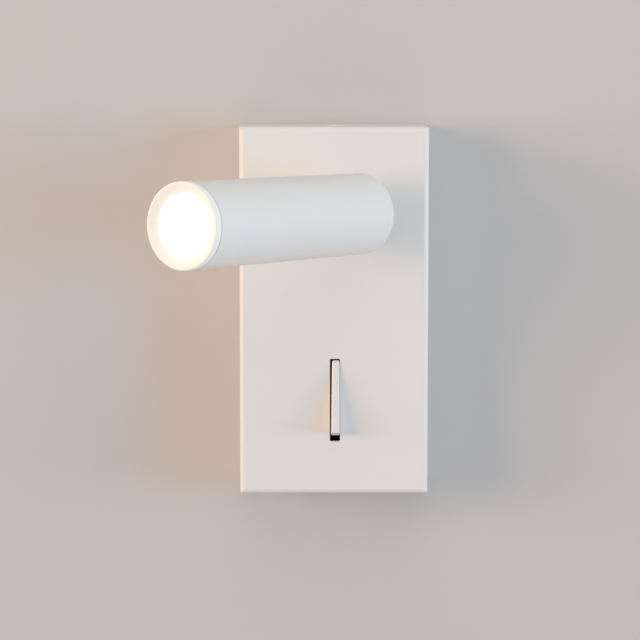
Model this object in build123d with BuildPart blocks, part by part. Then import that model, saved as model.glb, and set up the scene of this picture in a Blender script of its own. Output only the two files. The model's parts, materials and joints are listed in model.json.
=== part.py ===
from build123d import *
from math import cos, hypot, radians, sin, sqrt
import os

# A switched reading light for a wall: a shallow box, a spot head that swivels and tilts, and a rocker lever.
# Millimetres. The origin is the middle of the back, on the wall. +X is right, +Y into the wall, +Z up.

# Box on the wall
HOUSING_WIDTH = 61.4
HOUSING_HEIGHT = 120.0
HOUSING_DEPTH = 26.0
SIDE_WALL = 2.0
FRONT_WALL = 1.8
CORNER_RADIUS = 0.9
FRONT_EDGE_RADIUS = 1.7
INNER_CORNER_RADIUS = 0.8
BOSS_RADIUS = 2.8
BOSS_HEIGHT = 5.0

# Clearances: between a piece and the wall beside it, round a push fit, round a turning shaft, round a screw
SEAT_GAP = 0.25
PRESS_GAP = 0.05
RUNNING_GAP = 0.04
SCREW_GAP = 0.2
SWING_GAP = 0.4

# Bracket on the wall, with its slots for two wall screws and its cable hole
BRACKET_SIDE_GAP = 4.0
BRACKET_THICKNESS = 1.5
BRACKET_CORNER = 3.0
WALL_SLOT_SPACING = 60.3
WALL_SLOT_LENGTH = 10.0
WALL_SLOT_WIDTH = 4.5
TAB_WIDTH = 16.0
TAB_LENGTH = 19.0
TAB_BEND_RADIUS = 2.5
TAB_COLLAR_RADIUS = 3.0
TAB_COLLAR_HEIGHT = 1.5
CABLE_FROM_EDGE = 10.0
CABLE_FROM_BOTTOM = 44.0
CABLE_BORE_RADIUS = 4.5
CABLE_BUSH_RADIUS = 7.0
CABLE_BUSH_FLANGE_RADIUS = 9.5
CABLE_BUSH_FLANGE = 2.5
CABLE_BUSH_TAPER = 25.0

# Screws that hold the box to the bracket's tabs, from above and below
HOUSING_SCREW_RADIUS = 1.75
HOUSING_SCREW_HEAD_RADIUS = 3.2
HOUSING_SCREW_LENGTH = 6.0
HOUSING_SCREW_FROM_WALL = 14.0
HOUSING_SCREW_SUNK = 0.3
COUNTERSINK_ANGLE = 90.0

# Small pan head screws inside the box
SMALL_SCREW_RADIUS = 1.25
SMALL_SCREW_LENGTH = 6.0
SMALL_SCREW_HEAD_RADIUS = 2.3
SMALL_SCREW_HEAD_HEIGHT = 1.7
PAN_HEAD_ROUNDING = 0.6
PILOT_DEPTH = 4.5

# Terminal block and earth on the bracket
TERMINAL_FROM_EDGE = 9.5
TERMINAL_FROM_BOTTOM = 22.0
TERMINAL_PITCH = 6.0
TERMINAL_WAYS = 3
TERMINAL_HEIGHT = 14.0
TERMINAL_DEPTH = 7.0
TERMINAL_ROUNDING = 0.6
TOWER_RADIUS = 2.6
TOWER_HEIGHT = 3.4
TERMINAL_SCREW_RADIUS = 1.6
TERMINAL_SCREW_LENGTH = 4.5
WIRE_HOLE_RADIUS = 1.4
WIRE_HOLE_DEPTH = 3.3
EARTH_FROM_EDGE = 7.5
EARTH_FROM_BOTTOM = 18.0
EARTH_SCREW_RADIUS = 2.0
EARTH_HEAD_RADIUS = 3.4
EARTH_HEAD_HEIGHT = 2.4
EARTH_TAG_RADIUS = 3.9
EARTH_TAG_THICKNESS = 0.8
EARTH_BARREL_RADIUS = 1.5
EARTH_BARREL_LENGTH = 4.0

# Driver for the lamp, just above the switch
DRIVER_ABOVE_SWITCH = 1.0
DRIVER_WIDTH = 36.0
DRIVER_HEIGHT = 23.4
DRIVER_DEPTH = 15.0
DRIVER_WALL = 1.2
DRIVER_CORNER = 1.5
DRIVER_STANDOFF = 0.5
DRIVER_EAR_REACH = 3.5
EAR_WIDTH = 7.0
EAR_THICKNESS = 2.0
DRIVER_LID_LIP = 1.5
BOARD_THICKNESS = 1.2
BOARD_STANDOFF = 1.0
TRANSFORMER_SIZE = 12.0
TRANSFORMER_HEADROOM = 1.6
CAPACITOR_RADIUS = 4.0
CAPACITOR_HEADROOM = 1.1
FILM_WIDTH = 5.0
FILM_LENGTH = 11.0
FILM_HEADROOM = 3.6
PART_FROM_LIP = 0.5

# Rocker switch: slot, lever, and the body behind it
SLOT_FROM_BOTTOM = 30.9
SLOT_FROM_MIDDLE = 0.35
SLOT_WIDTH = 3.3
SLOT_LENGTH = 27.2
SLOT_CORNER = 0.4
LEVER_THICKNESS = 2.75
LEVER_NARROWING = 0.3
LEVER_SIDE_PLAY = 0.12
LEVER_DEPTH = 7.2
LEVER_TIP_RADIUS = 0.8
LEVER_BOSS_RADIUS = 2.2
LEVER_EDGE_RADIUS = 0.6
LEVER_END_GAP = 0.35
ROCKER_TILT = 14.5
ROCKER_PIVOT_DEPTH = 3.4
ROCKER_PIN_RADIUS = 1.0
SWITCH_WIDTH = 12.0
SWITCH_END_WALL = 2.6
SWITCH_DEPTH = 12.2
SWITCH_ROUNDING = 1.0
SWITCH_EAR_REACH = 4.0
BLADE_THICKNESS = 0.8
BLADE_WIDTH = 4.8
BLADE_LENGTH = 5.0
BLADE_SPACING = 19.0

# Swivel stem through the front of the box, with its stop tab just above the driver
TAB_ABOVE_DRIVER = 0.8
SWIVEL_BOSS_RADIUS = 10.5
SWIVEL_BOSS_HEIGHT = 2.2
SHANK_RADIUS = 5.0
SHANK_FLATS = 8.6
SHANK_BEYOND_NUT = 1.2
SWIVEL_BUSH_WALL = 1.2
SWIVEL_BUSH_FLANGE = 0.8
STEM_FLANGE_RADIUS = 9.0
STEM_FLANGE = 1.8
STEM_FLANGE_ROUNDING = 0.6
TONGUE_WIDTH = 11.0
TONGUE_THICKNESS = 8.0
STEM_BORE_RADIUS = 1.6
STOP_POST_RADIUS = 1.5
STOP_POST_FROM_AXIS = 11.2
STOP_WASHER_RADIUS = 8.6
STOP_WASHER_THICKNESS = 1.2
STOP_TAB_WIDTH = 3.0
DISC_SPRING_RADIUS = 8.2
DISC_SPRING_THICKNESS = 0.6
DISC_SPRING_RISE = 0.5
NUT_ACROSS_FLATS = 14.0
NUT_THICKNESS = 4.0
NUT_CHAMFER = 0.5

# Spot head: the tube tilts on two studs. At rest it leans from straight out, its front turned up a little
HEAD_TILT = 35.3
HEAD_TURN = 1.7
TAIL_GAP = 1.7
PIVOT_FROM_REAR = 14.9
TUBE_RADIUS = 12.9
TUBE_WALL = 1.5
TUBE_LENGTH = 91.9
REAR_WALL = 2.0
REAR_EDGE_RADIUS = 1.0
SEAM_CHAMFER = 0.2
STUD_RADIUS = 2.0
FRICTION_WASHER_RADIUS = 5.2
FRICTION_WASHER_THICKNESS = 0.6
WASHER_GAP = 0.05
BLOCK_AHEAD_OF_PIVOT = 11.0
BLOCK_WIRE_RADIUS = 2.6
BLOCK_SCREW_FROM_EDGE = 2.85
BLOCK_SCREW_LENGTH = 7.0

# Front of the head: bezel, lens, gasket, reflector, lamp board and heat sink
BEZEL_LENGTH = 2.5
BEZEL_RIM = 0.7
BEZEL_EDGE_RADIUS = 0.4
BEZEL_SPIGOT_LENGTH = 7.0
BEZEL_SPIGOT_WALL = 0.6
LENS_RECESS = 1.4
LIP_REACH = 0.95
LENS_GAP = 0.1
LENS_FLANGE = 1.8
LENS_CROWN = 0.5
LIP_THICKNESS = 1.2
GASKET_THICKNESS = 0.8
REFLECTOR_HEIGHT = 10.0
REFLECTOR_GAP = 0.8
REFLECTOR_WALL = 0.8
REFLECTOR_RIM = 1.0
LED_BOARD_EDGE_GAP = 1.25
LED_BOARD_THICKNESS = 1.6
CHIP_SIZE = 4.4
CHIP_THICKNESS = 0.6
CHIP_DOME_RADIUS = 1.9
CHIP_DOME_RISE = 0.5
BOARD_SCREW_RADIUS = 1.0
BOARD_SCREW_LENGTH = 6.0
BOARD_SCREW_HEAD_RADIUS = 1.7
BOARD_SCREW_HEAD_HEIGHT = 1.0
BOARD_SCREW_FROM_EDGE = 2.0
HEAT_SINK_LENGTH = 22.0
HEAT_SINK_FACE = 4.0
HEAT_SINK_FINS = 10
FIN_GAP = 2.2
FIN_ROOT_RADIUS = 5.6
SINK_BORE_RADIUS = 2.0

# Leads
MAINS_LEAD_RADIUS = 0.9
LAMP_LEAD_RADIUS = 1.2
LEAD_BEND = 2.2
LEAD_PITCH = 2.2
LAMP_LEAD_BEND = 3.4
NEUTRAL_LEAD_X = 11.0
OUTPUT_LEAD_X = 10.0
OUTPUT_LEAD_FROM_WALL = 12.0
OUTPUT_LEAD_RISE = 4.5
OUTPUT_BEND_FROM_WALL = 6.5
OUTPUT_BEND_BELOW_SWIVEL = 3.0

# Worked out from the sizes above
inner_width = HOUSING_WIDTH - 2 * SIDE_WALL
inner_height = HOUSING_HEIGHT - 2 * SIDE_WALL
inner_depth = HOUSING_DEPTH - FRONT_WALL
bracket_height = inner_height - 2 * SEAT_GAP
bracket_width = inner_width - 2 * BRACKET_SIDE_GAP
boss_end = inner_depth - BOSS_HEIGHT
ear_back = boss_end - EAR_THICKNESS
housing_screw_spots = [(0, -HOUSING_SCREW_FROM_WALL, side * HOUSING_HEIGHT / 2) for side in (1, -1)]
housing_screw_top = (0, -HOUSING_SCREW_FROM_WALL, HOUSING_HEIGHT / 2 - HOUSING_SCREW_SUNK)
wall_slots = [(0, side * WALL_SLOT_SPACING / 2) for side in (1, -1)]
tab_end = STOP_POST_FROM_AXIS + STOP_POST_RADIUS

# Places on the bracket and up the box, each stacked on the one below it
bottom = -HOUSING_HEIGHT / 2
cable_spot = (CABLE_FROM_EDGE - bracket_width / 2, bottom + CABLE_FROM_BOTTOM)
terminal_middle = (TERMINAL_FROM_EDGE - bracket_width / 2, bottom + TERMINAL_FROM_BOTTOM)
earth_x = bracket_width / 2 - EARTH_FROM_EDGE
earth_z = bottom + EARTH_FROM_BOTTOM
slot_z = bottom + SLOT_FROM_BOTTOM
slot_spot = (SLOT_FROM_MIDDLE, slot_z)
switch_length = SLOT_LENGTH + 2 * SWING_GAP + 2 * SWITCH_END_WALL
switch_ear_spacing = switch_length + 2 * SWITCH_EAR_REACH
switch_ears = [(SLOT_FROM_MIDDLE, slot_z + side * switch_ear_spacing / 2) for side in (1, -1)]
driver_foot = slot_z + switch_ear_spacing / 2 + EAR_WIDTH / 2 + DRIVER_ABOVE_SWITCH
driver_top = driver_foot + DRIVER_HEIGHT
driver_z = driver_foot + DRIVER_HEIGHT / 2
driver_ear_spacing = DRIVER_WIDTH + 2 * DRIVER_EAR_REACH
driver_ears = [(side * driver_ear_spacing / 2, driver_z) for side in (1, -1)]
swivel_z = driver_top + tab_end + TAB_ABOVE_DRIVER

swivel_bush_radius = SHANK_RADIUS + RUNNING_GAP + SWIVEL_BUSH_WALL
swivel_bush_depth = FRONT_WALL + SWIVEL_BOSS_HEIGHT
stop_washer_depth = swivel_bush_depth + STOP_WASHER_THICKNESS
disc_spring_depth = stop_washer_depth + DISC_SPRING_THICKNESS + DISC_SPRING_RISE
nut_depth = disc_spring_depth + NUT_THICKNESS
shank_depth = nut_depth + SHANK_BEYOND_NUT
stem_flange_top = SWIVEL_BUSH_FLANGE + STEM_FLANGE

# The tube's tail swings past the stem flange, so the pivot stands off by the tail's longest reach
tongue_radius = TONGUE_WIDTH / 2
slot_half = TONGUE_THICKNESS / 2 + FRICTION_WASHER_THICKNESS + 2 * WASHER_GAP
slot_reach = tongue_radius + SWING_GAP
tail_reach = hypot(PIVOT_FROM_REAR, sqrt(TUBE_RADIUS**2 - slot_half**2))
pivot_standoff = stem_flange_top + tail_reach + TAIL_GAP
tube_bore = TUBE_RADIUS - TUBE_WALL
fit_radius = tube_bore - PRESS_GAP
tube_rear = -PIVOT_FROM_REAR
block_rear = tube_rear + REAR_WALL
front_end = tube_rear + TUBE_LENGTH
tube_front = front_end - BEZEL_LENGTH
lens_front = front_end - LENS_RECESS
lip_back = lens_front - LIP_THICKNESS
lens_back = lip_back - LENS_FLANGE
gasket_back = lens_back - GASKET_THICKNESS
board_front = gasket_back - REFLECTOR_HEIGHT
board_back = board_front - LED_BOARD_THICKNESS
sink_rear = board_back - HEAT_SINK_LENGTH
spigot_inside = fit_radius - BEZEL_SPIGOT_WALL
lens_flange_radius = spigot_inside - LENS_GAP
lens_aperture = spigot_inside - LIP_REACH
block_screw_from_axis = fit_radius - BLOCK_SCREW_FROM_EDGE
led_board_radius = fit_radius - LED_BOARD_EDGE_GAP
board_screw_from_axis = led_board_radius - BOARD_SCREW_FROM_EDGE
reflector_outside = board_screw_from_axis - BOARD_SCREW_HEAD_RADIUS - REFLECTOR_GAP

# The lever is a bar whose top end is level with the front and whose low end stands out at rest
tilt_sin = sin(radians(ROCKER_TILT))
tilt_cos = cos(radians(ROCKER_TILT))
lever_half = (SLOT_LENGTH / 2 - LEVER_END_GAP) * tilt_cos - ROCKER_PIVOT_DEPTH * tilt_sin
lever_face = (ROCKER_PIVOT_DEPTH + lever_half * tilt_sin) / tilt_cos
lever_heel = lever_face - LEVER_DEPTH
trough_depth = ROCKER_PIVOT_DEPTH + lever_half * tilt_sin - min(lever_heel, 0) + SWING_GAP - FRONT_WALL

# Planes: on the wall, across the box, along the swivel axis, along the tube, and along the lever
bracket_front = Plane.XZ.offset(BRACKET_THICKNESS)
inner_face = Plane.XZ.offset(inner_depth)
front_face = Plane.XZ.offset(HOUSING_DEPTH)
turn_sin = sin(radians(HEAD_TURN))
turn_cos = cos(radians(HEAD_TURN))
lean_sin = sin(radians(HEAD_TILT))
lean_cos = cos(radians(HEAD_TILT))
swivel_face = Plane(origin=(0, -HOUSING_DEPTH, swivel_z), x_dir=(turn_cos, 0, -turn_sin), z_dir=(0, -1, 0))
swivel_section = Plane(origin=swivel_face.origin, x_dir=swivel_face.x_dir, z_dir=(-turn_sin, 0, -turn_cos))
swivel_axis = Axis((0, -HOUSING_DEPTH, swivel_z), (0, -1, 0))
pivot_point = (0, -HOUSING_DEPTH - pivot_standoff, swivel_z)
tube_direction = (-lean_sin * turn_cos, -lean_cos, lean_sin * turn_sin)
slot_direction = (-lean_cos * turn_cos, lean_sin, lean_cos * turn_sin)
head_plane = Plane(origin=pivot_point, x_dir=slot_direction, z_dir=tube_direction)
head_section = Plane(origin=pivot_point, x_dir=slot_direction, z_dir=(turn_sin, 0, turn_cos))
head_axis = Axis(pivot_point, tube_direction)
tube_back = Plane(origin=head_plane.offset(tube_rear).origin, x_dir=slot_direction, z_dir=-head_plane.z_dir)
pin_plane = Plane(origin=(SLOT_FROM_MIDDLE, -HOUSING_DEPTH + ROCKER_PIVOT_DEPTH, slot_z), z_dir=(1, 0, 0))
rocker_pivot = pin_plane.offset(LEVER_SIDE_PLAY).origin
lever_plane = Plane(origin=rocker_pivot, x_dir=(0, tilt_sin, tilt_cos), z_dir=(1, 0, 0))

os.makedirs("parts", exist_ok=True)


def write(piece, name):
    """Labels a finished piece and writes it as its own file."""
    piece.part.label = name
    export_step(piece.part, f"parts/{name}.step")


def pan_screws(seat, spots, shank, length, head, height):
    """Pan head screws on a seat plane: the shanks run along its normal, the heads stand behind it."""
    with BuildPart() as screws:
        with BuildSketch(seat):
            with Locations(*spots):
                Circle(shank)
        extrude(amount=length)
        with BuildSketch(seat):
            with Locations(*spots):
                Circle(head)
        extrude(amount=-height)
        head_faces = screws.faces().sort_by(Axis(seat.origin, seat.z_dir))[: len(spots)]
        fillet(head_faces.edges(), PAN_HEAD_ROUNDING)
    return screws


def lead(points, radius, bend):
    """An insulated lead along straight runs that are joined by arcs."""
    with BuildPart() as tube:
        with BuildLine() as route:
            FilletPolyline(*points, radius=bend)
        with BuildSketch(Plane(origin=route.line @ 0, z_dir=route.line % 0)):
            Circle(radius)
        sweep(path=route.line)
    return tube


# Front housing: a shell that is open to the wall, with its bosses, swivel ring and stop post.
# Its front edges are round and meet in mitres, as where folded sheet is welded and ground
with BuildPart() as front_housing:
    with BuildSketch(Plane.XZ):
        RectangleRounded(HOUSING_WIDTH, HOUSING_HEIGHT, CORNER_RADIUS)
    extrude(amount=HOUSING_DEPTH)
    with BuildSketch(Plane.YZ) as side_outline:
        with Locations((-HOUSING_DEPTH / 2, 0)):
            Rectangle(HOUSING_DEPTH, HOUSING_HEIGHT)
        fillet(side_outline.vertices().group_by(Axis.X)[0], FRONT_EDGE_RADIUS)
    extrude(amount=HOUSING_WIDTH, both=True, mode=Mode.INTERSECT)
    with BuildSketch(Plane.XY) as plan_outline:
        with Locations((0, -HOUSING_DEPTH / 2)):
            Rectangle(HOUSING_WIDTH, HOUSING_DEPTH)
        fillet(plan_outline.vertices().group_by(Axis.Y)[0], FRONT_EDGE_RADIUS)
    extrude(amount=HOUSING_HEIGHT, both=True, mode=Mode.INTERSECT)
    with BuildSketch(Plane.XZ):
        RectangleRounded(inner_width, inner_height, INNER_CORNER_RADIUS)
    extrude(amount=inner_depth, mode=Mode.SUBTRACT)
    with BuildSketch(inner_face):
        with Locations((0, swivel_z)):
            Circle(SWIVEL_BOSS_RADIUS)
    extrude(amount=-SWIVEL_BOSS_HEIGHT)
    with BuildSketch(inner_face):
        with Locations((0, swivel_z + STOP_POST_FROM_AXIS)):
            Circle(STOP_POST_RADIUS)
    extrude(amount=-SWIVEL_BOSS_HEIGHT - STOP_WASHER_THICKNESS)
    with BuildSketch(inner_face):
        with Locations(*driver_ears, *switch_ears):
            Circle(BOSS_RADIUS)
    extrude(amount=-BOSS_HEIGHT)
    with BuildSketch(Plane.XZ.offset(boss_end)):
        with Locations(*driver_ears, *switch_ears):
            Circle(SMALL_SCREW_RADIUS + PRESS_GAP)
    extrude(amount=PILOT_DEPTH, mode=Mode.SUBTRACT)
    with BuildSketch(swivel_face):
        Circle(swivel_bush_radius + PRESS_GAP)
    extrude(amount=-swivel_bush_depth, mode=Mode.SUBTRACT)
    with BuildSketch(front_face):
        with Locations(slot_spot):
            RectangleRounded(SLOT_WIDTH, SLOT_LENGTH, SLOT_CORNER)
    extrude(amount=-FRONT_WALL, mode=Mode.SUBTRACT)
    with Locations(*[Plane(origin=spot, z_dir=(0, 0, spot[2])) for spot in housing_screw_spots]):
        CounterSinkHole(
            HOUSING_SCREW_RADIUS + SCREW_GAP,
            HOUSING_SCREW_HEAD_RADIUS + HOUSING_SCREW_SUNK + SCREW_GAP,
            depth=SIDE_WALL,
            counter_sink_angle=COUNTERSINK_ANGLE,
        )
write(front_housing, "front_housing")

# Wall bracket: a plate with two wall slots, a cable hole and two bent tabs for the box's screws
tab_top = bracket_height / 2
with BuildPart() as wall_bracket:
    with BuildSketch(Plane.XZ):
        RectangleRounded(bracket_width, bracket_height - 4 * TAB_BEND_RADIUS, BRACKET_CORNER)
        with Locations(*wall_slots):
            SlotOverall(WALL_SLOT_LENGTH, WALL_SLOT_WIDTH, rotation=90, mode=Mode.SUBTRACT)
        with Locations(cable_spot):
            Circle(CABLE_BUSH_RADIUS + PRESS_GAP, mode=Mode.SUBTRACT)
        with Locations((earth_x, earth_z)):
            Circle(EARTH_SCREW_RADIUS + PRESS_GAP, mode=Mode.SUBTRACT)
    extrude(amount=BRACKET_THICKNESS)
    with BuildSketch(Plane.YZ):
        with BuildLine():
            Polyline(
                (0, tab_top - 3 * TAB_BEND_RADIUS),
                (0, tab_top - TAB_BEND_RADIUS),
            )
            TangentArc((0, tab_top - TAB_BEND_RADIUS), (-TAB_BEND_RADIUS, tab_top), tangent=(0, 1))
            Polyline(
                (-TAB_BEND_RADIUS, tab_top),
                (-TAB_LENGTH, tab_top),
                (-TAB_LENGTH, tab_top - BRACKET_THICKNESS),
                (-TAB_BEND_RADIUS, tab_top - BRACKET_THICKNESS),
            )
            TangentArc(
                (-TAB_BEND_RADIUS, tab_top - BRACKET_THICKNESS),
                (-BRACKET_THICKNESS, tab_top - TAB_BEND_RADIUS),
                tangent=(1, 0),
            )
            Polyline(
                (-BRACKET_THICKNESS, tab_top - TAB_BEND_RADIUS),
                (-BRACKET_THICKNESS, tab_top - 3 * TAB_BEND_RADIUS),
                (0, tab_top - 3 * TAB_BEND_RADIUS),
            )
        make_face()
        mirror(about=Plane.XZ)
    extrude(amount=TAB_WIDTH / 2, both=True)
    with BuildSketch(Plane.XY.offset(tab_top - BRACKET_THICKNESS)):
        with Locations((0, -HOUSING_SCREW_FROM_WALL)):
            Circle(TAB_COLLAR_RADIUS)
    extrude(amount=-TAB_COLLAR_HEIGHT)
    with BuildSketch(Plane.XY.offset(BRACKET_THICKNESS - tab_top)):
        with Locations((0, -HOUSING_SCREW_FROM_WALL)):
            Circle(TAB_COLLAR_RADIUS)
    extrude(amount=TAB_COLLAR_HEIGHT)
    with BuildSketch(Plane.XY):
        with Locations((0, -HOUSING_SCREW_FROM_WALL)):
            Circle(HOUSING_SCREW_RADIUS + PRESS_GAP)
    extrude(amount=HOUSING_HEIGHT / 2, both=True, mode=Mode.SUBTRACT)
write(wall_bracket, "wall_bracket")

# Housing screws: countersunk, one from above and one from below
head_drop = HOUSING_SCREW_HEAD_RADIUS - HOUSING_SCREW_RADIUS
with BuildPart() as housing_screws:
    with BuildSketch(Plane(origin=housing_screw_top, x_dir=(1, 0, 0), z_dir=(0, -1, 0))):
        with BuildLine():
            Polyline(
                (0, 0),
                (HOUSING_SCREW_HEAD_RADIUS, 0),
                (HOUSING_SCREW_RADIUS, -head_drop),
                (HOUSING_SCREW_RADIUS, -HOUSING_SCREW_LENGTH),
                (0, -HOUSING_SCREW_LENGTH),
                close=True,
            )
        make_face()
    revolve(axis=Axis(housing_screw_top, (0, 0, 1)))
    mirror(about=Plane.XY)
write(housing_screws, "housing_screws")

# Cable bush: a rubber ring pushed into the bracket, level with its back
with BuildPart() as cable_bush:
    with BuildSketch(Plane.XZ):
        with Locations(cable_spot):
            Circle(CABLE_BUSH_RADIUS)
    extrude(amount=BRACKET_THICKNESS)
    with BuildSketch(bracket_front):
        with Locations(cable_spot):
            Circle(CABLE_BUSH_FLANGE_RADIUS)
    extrude(amount=CABLE_BUSH_FLANGE, taper=CABLE_BUSH_TAPER)
    with BuildSketch(Plane.XZ):
        with Locations(cable_spot):
            Circle(CABLE_BORE_RADIUS)
    extrude(amount=BRACKET_THICKNESS + CABLE_BUSH_FLANGE, mode=Mode.SUBTRACT)
write(cable_bush, "cable_bush")

# Terminal block: wires go through it from top to bottom, and a screw in each tower clamps them
terminal_offset = (TERMINAL_WAYS - 1) / 2
terminal_x = [terminal_middle[0] + (way - terminal_offset) * TERMINAL_PITCH for way in range(TERMINAL_WAYS)]
terminal_spots = [(x, terminal_middle[1]) for x in terminal_x]
tower_end = BRACKET_THICKNESS + TERMINAL_DEPTH + TOWER_HEIGHT
wire_depth = BRACKET_THICKNESS + WIRE_HOLE_DEPTH
with BuildPart() as terminal_block:
    with BuildSketch(bracket_front):
        with Locations(terminal_middle):
            RectangleRounded(TERMINAL_WAYS * TERMINAL_PITCH, TERMINAL_HEIGHT, TERMINAL_ROUNDING)
    extrude(amount=TERMINAL_DEPTH)
    with BuildSketch(bracket_front.offset(TERMINAL_DEPTH)):
        with Locations(*terminal_spots):
            Circle(TOWER_RADIUS)
    extrude(amount=TOWER_HEIGHT)
    with BuildSketch(Plane.XZ.offset(wire_depth)):
        with Locations(*terminal_spots):
            Circle(TERMINAL_SCREW_RADIUS + PRESS_GAP)
    extrude(amount=tower_end - wire_depth, mode=Mode.SUBTRACT)
    with BuildSketch(Plane.XY.offset(terminal_middle[1])):
        with Locations(*[(x, -wire_depth) for x in terminal_x]):
            Circle(WIRE_HOLE_RADIUS)
    extrude(amount=TERMINAL_HEIGHT / 2, both=True, mode=Mode.SUBTRACT)
write(terminal_block, "terminal_block")

with BuildPart() as terminal_screws:
    with BuildSketch(Plane.XZ.offset(wire_depth + WIRE_HOLE_RADIUS)):
        with Locations(*terminal_spots):
            Circle(TERMINAL_SCREW_RADIUS)
    extrude(amount=TERMINAL_SCREW_LENGTH)
write(terminal_screws, "terminal_screws")

# Earth tag and its screw, on the bracket
barrel_top = earth_z - EARTH_TAG_RADIUS
barrel_depth = BRACKET_THICKNESS + EARTH_BARREL_RADIUS
with BuildPart() as earth_tag:
    with BuildSketch(bracket_front):
        with Locations((earth_x, earth_z)):
            Circle(EARTH_TAG_RADIUS)
        with Locations((earth_x, barrel_top)):
            Rectangle(2 * EARTH_BARREL_RADIUS, EARTH_TAG_RADIUS)
        with Locations((earth_x, earth_z)):
            Circle(EARTH_SCREW_RADIUS + SCREW_GAP, mode=Mode.SUBTRACT)
    extrude(amount=EARTH_TAG_THICKNESS)
    with BuildSketch(Plane.XY.offset(barrel_top)):
        with Locations((earth_x, -barrel_depth)):
            Circle(EARTH_BARREL_RADIUS)
    extrude(amount=-EARTH_BARREL_LENGTH)
write(earth_tag, "earth_tag")

earth_screw = pan_screws(
    Plane(origin=(0, -BRACKET_THICKNESS - EARTH_TAG_THICKNESS, 0), x_dir=(-1, 0, 0), z_dir=(0, 1, 0)),
    [(-earth_x, earth_z)],
    EARTH_SCREW_RADIUS,
    BRACKET_THICKNESS + EARTH_TAG_THICKNESS,
    EARTH_HEAD_RADIUS,
    EARTH_HEAD_HEIGHT,
)
write(earth_screw, "earth_screw")

# Driver: a moulded tray with two ears, a board with its tall parts, and a lid towards the wall
driver_front = inner_depth - DRIVER_STANDOFF
driver_back = driver_front - DRIVER_DEPTH
driver_inside = [DRIVER_WIDTH - 2 * DRIVER_WALL, DRIVER_HEIGHT - 2 * DRIVER_WALL]
with BuildPart() as driver_case:
    with BuildSketch(Plane.XZ.offset(driver_front)):
        with Locations((0, driver_z)):
            RectangleRounded(DRIVER_WIDTH, DRIVER_HEIGHT, DRIVER_CORNER)
    extrude(amount=-DRIVER_DEPTH)
    with BuildSketch(Plane.XZ.offset(boss_end)):
        with Locations((0, driver_z)):
            SlotCenterToCenter(driver_ear_spacing, EAR_WIDTH)
        with Locations(*driver_ears):
            Circle(SMALL_SCREW_RADIUS + SCREW_GAP, mode=Mode.SUBTRACT)
    extrude(amount=-EAR_THICKNESS)
    with BuildSketch(Plane.XZ.offset(driver_back)):
        with Locations((0, driver_z)):
            RectangleRounded(*driver_inside, DRIVER_CORNER - DRIVER_WALL / 2)
    extrude(amount=DRIVER_DEPTH - DRIVER_WALL, mode=Mode.SUBTRACT)
write(driver_case, "driver_case")

board_back_depth = driver_front - DRIVER_WALL - BOARD_STANDOFF - BOARD_THICKNESS
board_face = Plane.XZ.offset(board_back_depth)
board_size = [side - 2 * SEAT_GAP for side in driver_inside]
part_room = board_back_depth - driver_back
part_edge = board_size[0] / 2 - DRIVER_WALL - PART_FROM_LIP
capacitor_x = part_edge - CAPACITOR_RADIUS
film_x = FILM_WIDTH / 2 - part_edge
with BuildPart() as driver_board:
    with BuildSketch(board_face):
        with Locations((0, driver_z)):
            RectangleRounded(*board_size, DRIVER_CORNER)
    extrude(amount=BOARD_THICKNESS)
    with BuildSketch(board_face):
        with Locations((0, driver_z)):
            Rectangle(TRANSFORMER_SIZE, TRANSFORMER_SIZE)
    extrude(amount=TRANSFORMER_HEADROOM - part_room)
    with BuildSketch(board_face):
        with Locations((capacitor_x, driver_z)):
            Circle(CAPACITOR_RADIUS)
    extrude(amount=CAPACITOR_HEADROOM - part_room)
    with BuildSketch(board_face):
        with Locations((film_x, driver_z)):
            Rectangle(FILM_WIDTH, FILM_LENGTH)
    extrude(amount=FILM_HEADROOM - part_room)
write(driver_board, "driver_board")

with BuildPart() as driver_lid:
    with BuildSketch(Plane.XZ.offset(driver_back)):
        with Locations((0, driver_z)):
            RectangleRounded(DRIVER_WIDTH, DRIVER_HEIGHT, DRIVER_CORNER)
    extrude(amount=-DRIVER_WALL)
    with BuildSketch(Plane.XZ.offset(driver_back)):
        with Locations((0, driver_z)):
            RectangleRounded(*board_size, DRIVER_CORNER)
            RectangleRounded(
                *[side - 2 * DRIVER_WALL for side in board_size],
                DRIVER_CORNER,
                mode=Mode.SUBTRACT,
            )
    extrude(amount=DRIVER_LID_LIP)
write(driver_lid, "driver_lid")

ear_seat = Plane.XZ.offset(ear_back)
small_screw = (SMALL_SCREW_RADIUS, SMALL_SCREW_LENGTH, SMALL_SCREW_HEAD_RADIUS, SMALL_SCREW_HEAD_HEIGHT)
driver_screws = pan_screws(ear_seat, driver_ears, *small_screw)
write(driver_screws, "driver_screws")
switch_screws = pan_screws(ear_seat, switch_ears, *small_screw)
write(switch_screws, "switch_screws")

# Switch body: a closed moulding behind the slot, with a trough for the lever and two ears
switch_back = inner_depth - SWITCH_DEPTH
trough_half = SLOT_WIDTH / 2 + SWING_GAP
with BuildPart() as switch_body:
    with BuildSketch(inner_face):
        with Locations(slot_spot):
            RectangleRounded(SWITCH_WIDTH, switch_length, SWITCH_ROUNDING)
    extrude(amount=-SWITCH_DEPTH)
    with BuildSketch(Plane.XZ.offset(boss_end)):
        with Locations(slot_spot):
            SlotCenterToCenter(switch_ear_spacing, EAR_WIDTH, rotation=90)
        with Locations(*switch_ears):
            Circle(SMALL_SCREW_RADIUS + SCREW_GAP, mode=Mode.SUBTRACT)
    extrude(amount=-EAR_THICKNESS)
    with BuildSketch(inner_face):
        with Locations(slot_spot):
            Rectangle(2 * trough_half, SLOT_LENGTH + 2 * SWING_GAP)
    extrude(amount=-trough_depth, mode=Mode.SUBTRACT)
    with BuildSketch(pin_plane):
        Circle(ROCKER_PIN_RADIUS + PRESS_GAP)
    extrude(amount=SWITCH_WIDTH / 2, both=True, mode=Mode.SUBTRACT)
write(switch_body, "switch_body")

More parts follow.
